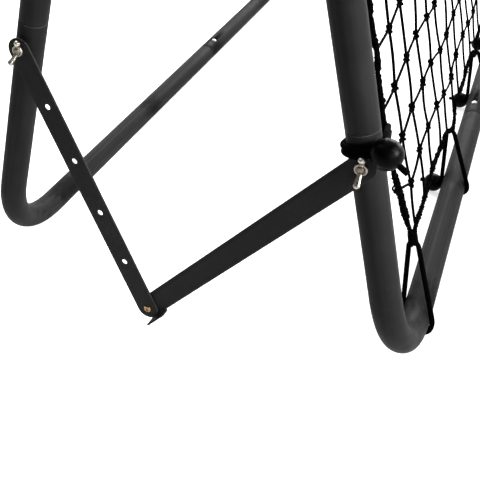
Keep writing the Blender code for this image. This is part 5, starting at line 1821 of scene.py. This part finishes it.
    def rope(self) -> Surface:
        """Border rope with its wrapping twine, the lashings at the net's ends and the whipped corners.

        Returns:
            The rope as a three-lobed section turned along its route, radius = mean * (1 + lobe *
            cos(3 (a - climb))), with a twine that winds round it, offset = reach * (cos w, sin w).
        """
        surface = Surface()
        line, marks = resample(ROPE_LINE, self.rope_step, True)
        length = marks[-1] + self.rope_step
        climb = 2.0 * np.pi * marks * round(length / self.rope_lay) / length
        lobes = 1.0 + self.rope_lobe * np.cos(3.0 * (round_angles(10) - climb[:, None] / 3.0))
        radius = self.girth(line, marks)[:, None] * lobes
        net_cord(surface, upright_path(line), radius, Y_AXIS, 10, closed=True, along=marks)
        turns = round(length / self.wrap_pitch)
        fine, fine_marks = resample(ROPE_LINE, length / (turns * 8), True)
        centre = upright_path(fine)
        first, second = section_axes(centre, Y_AXIS, closed=True)
        wind = 2.0 * np.pi * turns * fine_marks / length + 2.6 * smooth_noise(fine_marks, 9, 0.07)
        reach = (self.girth(fine, fine_marks) * (1.0 + 0.20 * smooth_noise(fine_marks, 3, 0.031)))[:, None]
        coil = centre + reach * (np.cos(wind)[:, None] * first + np.sin(wind)[:, None] * second)
        net_cord(surface, coil, self.twine * 0.52, Y_AXIS, 5, closed=True, along=fine_marks)
        for sign_x in (-1.0, 1.0):
            for base, sign_z in ((0.0, 1.0), (FRAME_RISE, -1.0)):
                self.whip(surface, sign_x, base, sign_z)
        return surface

    def girth(self, line: Array, marks: Array) -> Array:
        """Mean radius of the rope along its route.

        Args:
            line: Places as (x, z).
            marks: Their distances along the rope.

        Returns:
            Radii, uneven by two smooth noises, and fuller where twine is wound over the rope at the corners.
        """
        above = np.minimum(line[:, 1], FRAME_RISE - line[:, 1])
        at_side = np.abs(line[:, 0]) > HALF_WIDTH - 0.118
        wound = at_side * np.exp(-(((above - 0.155) / 0.035) ** 4))
        beside = np.abs(line[:, 0]) > HALF_WIDTH - 0.075
        lumps = 0.14 * smooth_noise(marks, 5, 0.05) + 0.13 * smooth_noise(marks, 6, 0.019)
        return ROPE_RADIUS * (0.66 + 0.10 * beside + lumps + 0.34 * wound)

    def whip(self, surface: Surface, sign_x: float, base: float, sign_z: float) -> None:
        """Wind twine round the two rope legs just above a corner, and leave a small loop beside the rope.

        Args:
            surface: Surface that takes the twine.
            sign_x: -1 for the near corner, 1 for the far one.
            base: Height of the rail.
            sign_z: 1 at the lower rail, -1 at the upper.
        """
        t = np.linspace(0.0, 1.0, self.whip_turns * 20)
        wind = 2.0 * np.pi * self.whip_turns * t
        x = HALF_WIDTH - self.whip_place + 0.0003 * t + (0.0042 + 0.0016 * t) * np.cos(wind)
        up = base + sign_z * (self.whip_foot + self.whip_rise * t)
        coil = np.stack([sign_x * x, (0.0042 - 0.0006 * t) * np.sin(wind), up], axis=1)
        net_cord(surface, coil, self.twine * 1.05, Z_AXIS, 6)
        a = np.linspace(-0.8, 2.0 * np.pi - 2.0, 26)
        x = HALF_WIDTH - self.loop_place + 0.0034 * np.cos(a)
        up = base + sign_z * (self.loop_height + 0.0050 * np.sin(a))
        loop = np.stack([sign_x * x, 0.002 * np.sin(2 * a), up], axis=1)
        net_cord(surface, loop, self.twine * 0.7, Y_AXIS, 6)

    def make(self, shop: Workshop) -> None:
        """Make the net and its rope."""
        shop.cover("net", "twine_mesh", self.net(), "net_twine", "net_frame")
        shop.cover("border_rope", "wrapped", self.rope(), "rope_lay", "net_frame")


@dataclass
class BallBungees:
    """Ball bungees that tie the rope to the rails and uprights."""

    rail_count: int = 5
    rail_margin: float = 0.131
    corner_shift: float = 0.0035
    crest_radius: float = 0.0052
    crest_rise: float = 0.0012
    corner_slant: float = 0.029
    rail_skew: float = 0.53
    middle_shift: float = 0.008
    under_turns: tuple[float, ...] = (0.0, 0.3, 0.7, 1.2, 1.8, 2.5, 3.1416)
    under_shifts: tuple[float, ...] = (1.0, 1.06, 1.11, 1.05, 0.60, 0.12, 0.0)
    side_count: int = 3
    side_margin: float = NET_STAY_HEIGHT + STAY_WIDTH / 2 + 0.00065 + CORD_RADIUS + 0.0029
    side_lower: float = 0.0061
    side_tilt: tuple[float, float, float] = (0.156, 0.089, 0.19)
    side_ball: float = 0.0137
    ball_lower: float = 0.0053
    ball_out: float = 0.0188
    band_pitch: float = 0.0058
    over_stay: float = 0.0037
    rail_tail: float = 0.0175
    side_tail: float = 0.0225

    def belt(self, circles: Sequence[tuple[tuple[float, float], float]], step: float = 0.0016) -> Array:
        """Taut closed line round circles, read at even steps and eased.

        Args:
            circles: Centre and radius of each circle.
            step: Distance between points.

        Returns:
            Array of (N, 2).
        """
        ring = round_angles(96)
        ring = np.stack([np.cos(ring), np.sin(ring)], axis=1)
        points = np.concatenate([np.array(centre) + radius * ring for centre, radius in circles])
        hull = points[geometry.convex_hull_2d([Vector(p) for p in points])]
        return resample(hull, step, True)[0]

    def ball(self, centre: Array, axis: Array, radius: float) -> Array:
        """Moulded ball with a sunk cord hole at each pole and a faint parting line.

        Args:
            centre: The ball's middle.
            axis: Direction of its hole.
            radius: The ball's radius.

        Returns:
            Grid of (heights, sides, 3); the radius is the ball's, less a little away from the parting line.
        """
        polar = np.linspace(np.radians(15.0), np.radians(165.0), 33)
        reach = radius * (0.992 + 0.008 * np.exp(-(((polar - np.pi / 2) / 0.03) ** 2)))
        body = [(r * math.sin(p), -r * math.cos(p)) for r, p in zip(reach, polar)]
        hole = CORD_RADIUS + 0.0002
        pole = [(0.0002, radius * 0.80), (hole, radius * 0.80), (hole + 0.0001, radius * 0.93)]
        return turned([(r, -h) for r, h in pole] + body + pole[::-1], centre, axis, 48)

    def add(self, shop: Workshop, node: str, cord: Surface, ball: Triple, way: Triple, radius: float) -> None:
        """Add a bungee as its cord and its ball.

        Args:
            shop: Workshop that makes the pieces.
            node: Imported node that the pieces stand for.
            cord: The cord's surface.
            ball: Middle of the ball, in the net frame.
            way: Direction of the ball's hole, in the net frame.
            radius: The ball's radius.
        """
        shop.cover(node, "cord", cord, "bungee_braid", "net_frame")
        moulded = self.ball(NET_PLANE.place(ball), NET_PLANE.direction(way), radius)
        shop.cover(node, "ball", Surface().grid(moulded, caps=True), "ball_plastic", "net_frame")

    def rail_bungees(self, shop: Workshop) -> None:
        """Make the ten bungees of the lower and upper rails.

        Each cord is a taut belt round the rail and the rope that also runs through the ball behind the rail.
        It lies at a slant, shift = skew * y. At a corner only its front leg and the part below the rail are
        drawn toward the corner, by slant * (1 - z / crest) and by slant times a table of the angle under the
        rail.

        Args:
            shop: Workshop that makes the pieces.
        """
        reach = TUBE_RADIUS + BALL_RADIUS + CONTACT_GAP
        drop = NET_FOOT[1] - BALL_RADIUS - CONTACT_GAP
        out = math.sqrt(reach**2 - drop**2)
        c, s = math.cos(NET_LEAN), math.sin(NET_LEAN)
        ball_y, ball_z = c * out + s * drop, s * out - c * drop
        spots = np.linspace(self.rail_margin, 2 * HALF_WIDTH - self.rail_margin, self.rail_count) - HALF_WIDTH
        spots[[0, -1]] += (-self.corner_shift, self.corner_shift)
        spots[self.rail_count // 2] += self.middle_shift
        low, high = rope_crossings(spots, 1)
        for number, x in enumerate(spots):
            corner = number in (0, self.rail_count - 1)
            toward = float(np.sign(0.01 - x))
            for rail, base, side in (("bottom", 0.0, 1.0), ("top", FRAME_RISE, -1.0)):
                crest = abs((low if side > 0 else high)[number] - base) + self.crest_rise
                hook = ((0.0, crest - self.crest_radius), self.crest_radius)
                line = self.belt((((0.0, 0.0), CORD_ON_TUBE), hook))
                y, height = line.T
                leg = (1.0 - height / crest) * (y < 0.0)
                below = np.interp(np.arctan2(-height, -y), self.under_turns, self.under_shifts)
                slant = -self.corner_slant * np.where(height > 0.0, leg, below)
                shift = slant if corner else self.rail_skew * y
                path = np.stack([x + toward * shift, y, base + side * height], axis=1)
                cord = Surface()
                net_cord(cord, path, CORD_RADIUS, X_AXIS, 14, closed=True)
                ball = np.array([x, ball_y, base + side * ball_z])
                way = unit(np.array([0.0, 0.963, side * 0.25]))
                t = np.linspace(0.0, 1.0, 12)[:, None]
                net_cord(cord, ball + way * self.rail_tail * t, CORD_RADIUS, X_AXIS, 14)
                self.add(shop, f"net_bungee_{rail}_{number + 1}", cord, ball, way, BALL_RADIUS)

    def side_bungees(self, shop: Workshop) -> None:
        """Make the six bungees of the uprights, each with a doubled cord.

        The bands lie on a slanting plane, and where the lower one meets the stay's end it swells outward over
        it. Their level is station - p * x - q * y - r * max(x - tube radius, 0).

        Args:
            shop: Workshop that makes the pieces.
        """
        reach = TUBE_RADIUS + self.side_ball + CONTACT_GAP
        front = math.sqrt(reach**2 - self.ball_out**2)
        heights = np.linspace(self.side_margin, FRAME_RISE - self.side_margin, self.side_count)
        p, q, r = self.side_tilt
        low, high = rope_crossings(heights - 0.027, 0)
        for side in Side:
            for number, z in enumerate(heights):
                rope = HALF_WIDTH - abs((low if side is Side.NEAR else high)[number])
                line = self.belt((((0.0, 0.0), CORD_ON_TUBE), ((rope - 0.0015, 0.0), 0.0040),
                                  ((-self.ball_out, -front), 0.0005)))
                cord = Surface()
                drop = p * line[:, 0] + q * line[:, 1] + r * np.maximum(line[:, 0] - TUBE_RADIUS, 0.0)
                for step in (-0.5, 0.5):
                    level = z - self.side_lower + step * self.band_pitch - drop
                    swell = self.over_stay * (step < 0 and number == 0) * np.exp(-((line[:, 1] / 0.010) ** 2))
                    across = line[:, 0] - swell * (line[:, 0] < 0.0)
                    path = np.stack([side.value * (HALF_WIDTH - across), line[:, 1], level], axis=1)
                    net_cord(cord, path, CORD_RADIUS, Z_AXIS, 14, closed=True)
                ball = np.array([side.value * (HALF_WIDTH + self.ball_out), -front, z - self.ball_lower])
                way = unit(np.array([side.value * 0.0053, -0.017, -0.0156]))
                t = np.linspace(0.0, 1.0, 14)[:, None]
                net_cord(cord, ball + way * self.side_tail * t, CORD_RADIUS, X_AXIS, 14)
                self.add(shop, f"net_bungee_{side.label}_{number + 1}", cord, ball, way, self.side_ball)

    def make(self, shop: Workshop) -> None:
        """Make all sixteen bungees."""
        self.rail_bungees(shop)
        self.side_bungees(shop)


# Studio


@dataclass
class Studio:
    """Pale floor, soft lights and the camera."""

    focal_pixels: float = 738.722
    image: float = 480.0
    sensor: float = 36.0
    middle: tuple[float, float] = (139.956, 147.519)
    place: tuple[float, float, float] = (-1.203324, -0.240679, 0.619079)
    ahead: tuple[float, float, float] = (0.7440991, 0.39300303, -0.54024545)
    right: tuple[float, float, float] = (0.46409141, -0.88577235, -0.00514806)
    floor_span: float = 14.0
    floor_glow: float = 0.68
    floor_tones: tuple[float, float] = (0.54, 0.58)
    aim: tuple[float, float, float] = (-0.4, 0.0, 0.25)
    upright: tuple[float, float, float] = (-0.65, -0.2, 0.3)
    upright_side: tuple[float, float, float] = (-0.65, -0.2, 0.32)

    def camera(self) -> None:
        """Set the camera where the photograph's was, with its framing as lens and shift."""
        data = bpy.data.cameras.new("studio_camera")
        data.sensor_width = self.sensor
        data.lens = self.focal_pixels / self.image * self.sensor
        data.shift_x = (self.image / 2 - self.middle[0]) / self.image
        data.shift_y = (self.middle[1] - self.image / 2) / self.image
        data.clip_start, data.clip_end = 0.02, 60.0
        ahead, right = Vector(self.ahead).normalized(), Vector(self.right).normalized()
        up = right.cross(ahead)
        turn = Matrix((right, up, -ahead)).transposed()
        item = bpy.data.objects.new("studio_camera", data)
        item.matrix_world = Matrix.Translation(self.place) @ turn.to_4x4()
        bpy.context.scene.collection.objects.link(item)
        bpy.context.scene.camera = item

    def floor(self) -> None:
        """Lay a wide pale floor with a faint mottle, lit a little from below as on a light table."""
        span = np.linspace(-self.floor_span, self.floor_span, 9)
        x, y = np.meshgrid(span, span, indexing="ij")
        surface = Surface().grid(np.stack([x, y, np.zeros_like(x)], axis=-1), close_v=False, flip=True)
        item = bpy.data.objects.new("studio_floor", surface.mesh("studio_floor"))
        material = bpy.data.materials.new("studio_paper")
        material.use_nodes = True
        tree = Tree(material.node_tree)
        mottle = tree.noise(tree.add("ShaderNodeTexCoord").outputs["Object"], 3.0, 3.0)
        tree.feed(
            material.node_tree.nodes["Principled BSDF"],
            Base_Color=tree.mix(mottle, *((tone, tone, tone, 1.0) for tone in self.floor_tones)),
            Roughness=0.9,
            Specular_IOR_Level=0.1,
            Emission_Color=(1.0, 1.0, 1.0, 1.0),
            Emission_Strength=self.floor_glow,
        )
        item.data.materials.append(material)
        bpy.context.scene.collection.objects.link(item)

    def softbox(
        self, name: str, place: Triple, target: Triple, size: float, power: float, spread: float = 180.0
    ) -> None:
        """Hang a square soft light that faces a target.

        Args:
            name: Its name.
            place: Where it hangs.
            target: What it faces.
            size: Side of the square.
            power: Power in watts.
            spread: Spread of its beam in degrees.
        """
        data = bpy.data.lights.new(name, "AREA")
        data.shape = "SQUARE"
        data.size = size
        data.energy = power
        data.spread = math.radians(spread)
        item = bpy.data.objects.new(name, data)
        item.location = place
        item.rotation_euler = (Vector(target) - Vector(place)).to_track_quat("-Z", "Y").to_euler()
        bpy.context.scene.collection.objects.link(item)

    def lights(self) -> None:
        """Set the world's glow and the softboxes."""
        world = bpy.data.worlds.new("studio_world")
        world.use_nodes = True
        background = world.node_tree.nodes["Background"]
        background.inputs["Color"].default_value = (1.0, 1.0, 1.0, 1.0)
        background.inputs["Strength"].default_value = 0.05
        bpy.context.scene.world = world
        for name, place, size, power in (
            ("end_key", (2.07, 0.0, 1.05), 1.4, 118.0),
            ("end_fill", (1.35, 1.75, 1.05), 1.4, 46.0),
            ("camera_fill", (-2.15, -1.75, 1.05), 1.4, 30.0),
            ("front", (-0.4, -2.1, 1.9), 1.4, 44.0),
            ("front_end", (1.35, -1.75, 1.05), 1.4, 27.0),
            ("top", (0.3, 1.4, 2.6), 2.5, 100.0),
        ):
            self.softbox(name, place, self.aim, size, power)
        self.softbox("upright_rim", (0.9, -0.9, 0.6), self.upright, 0.4, 0.3, 22.0)
        self.softbox("upright_side", (-0.75, -1.05, 0.75), self.upright_side, 0.3, 2.3, 40.0)
        bpy.context.scene.view_settings.view_transform = "Standard"

    def make(self) -> None:
        """Set up the whole studio."""
        self.camera()
        self.floor()
        self.lights()


def main() -> None:
    """Build every piece in order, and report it."""
    logging.basicConfig(level=logging.INFO, format="%(message)s")
    Studio().make()
    shop = Workshop()
    kinds = (TubeFrames, Stays, StayFasteners, SpringButtons, TopHinges, Netting, BallBungees)
    for assembly in (kind() for kind in kinds):
        before = shop.made
        assembly.make(shop)
        log.info("%s: %d pieces", type(assembly).__name__, shop.made - before)


if __name__ == "__main__":
    main()
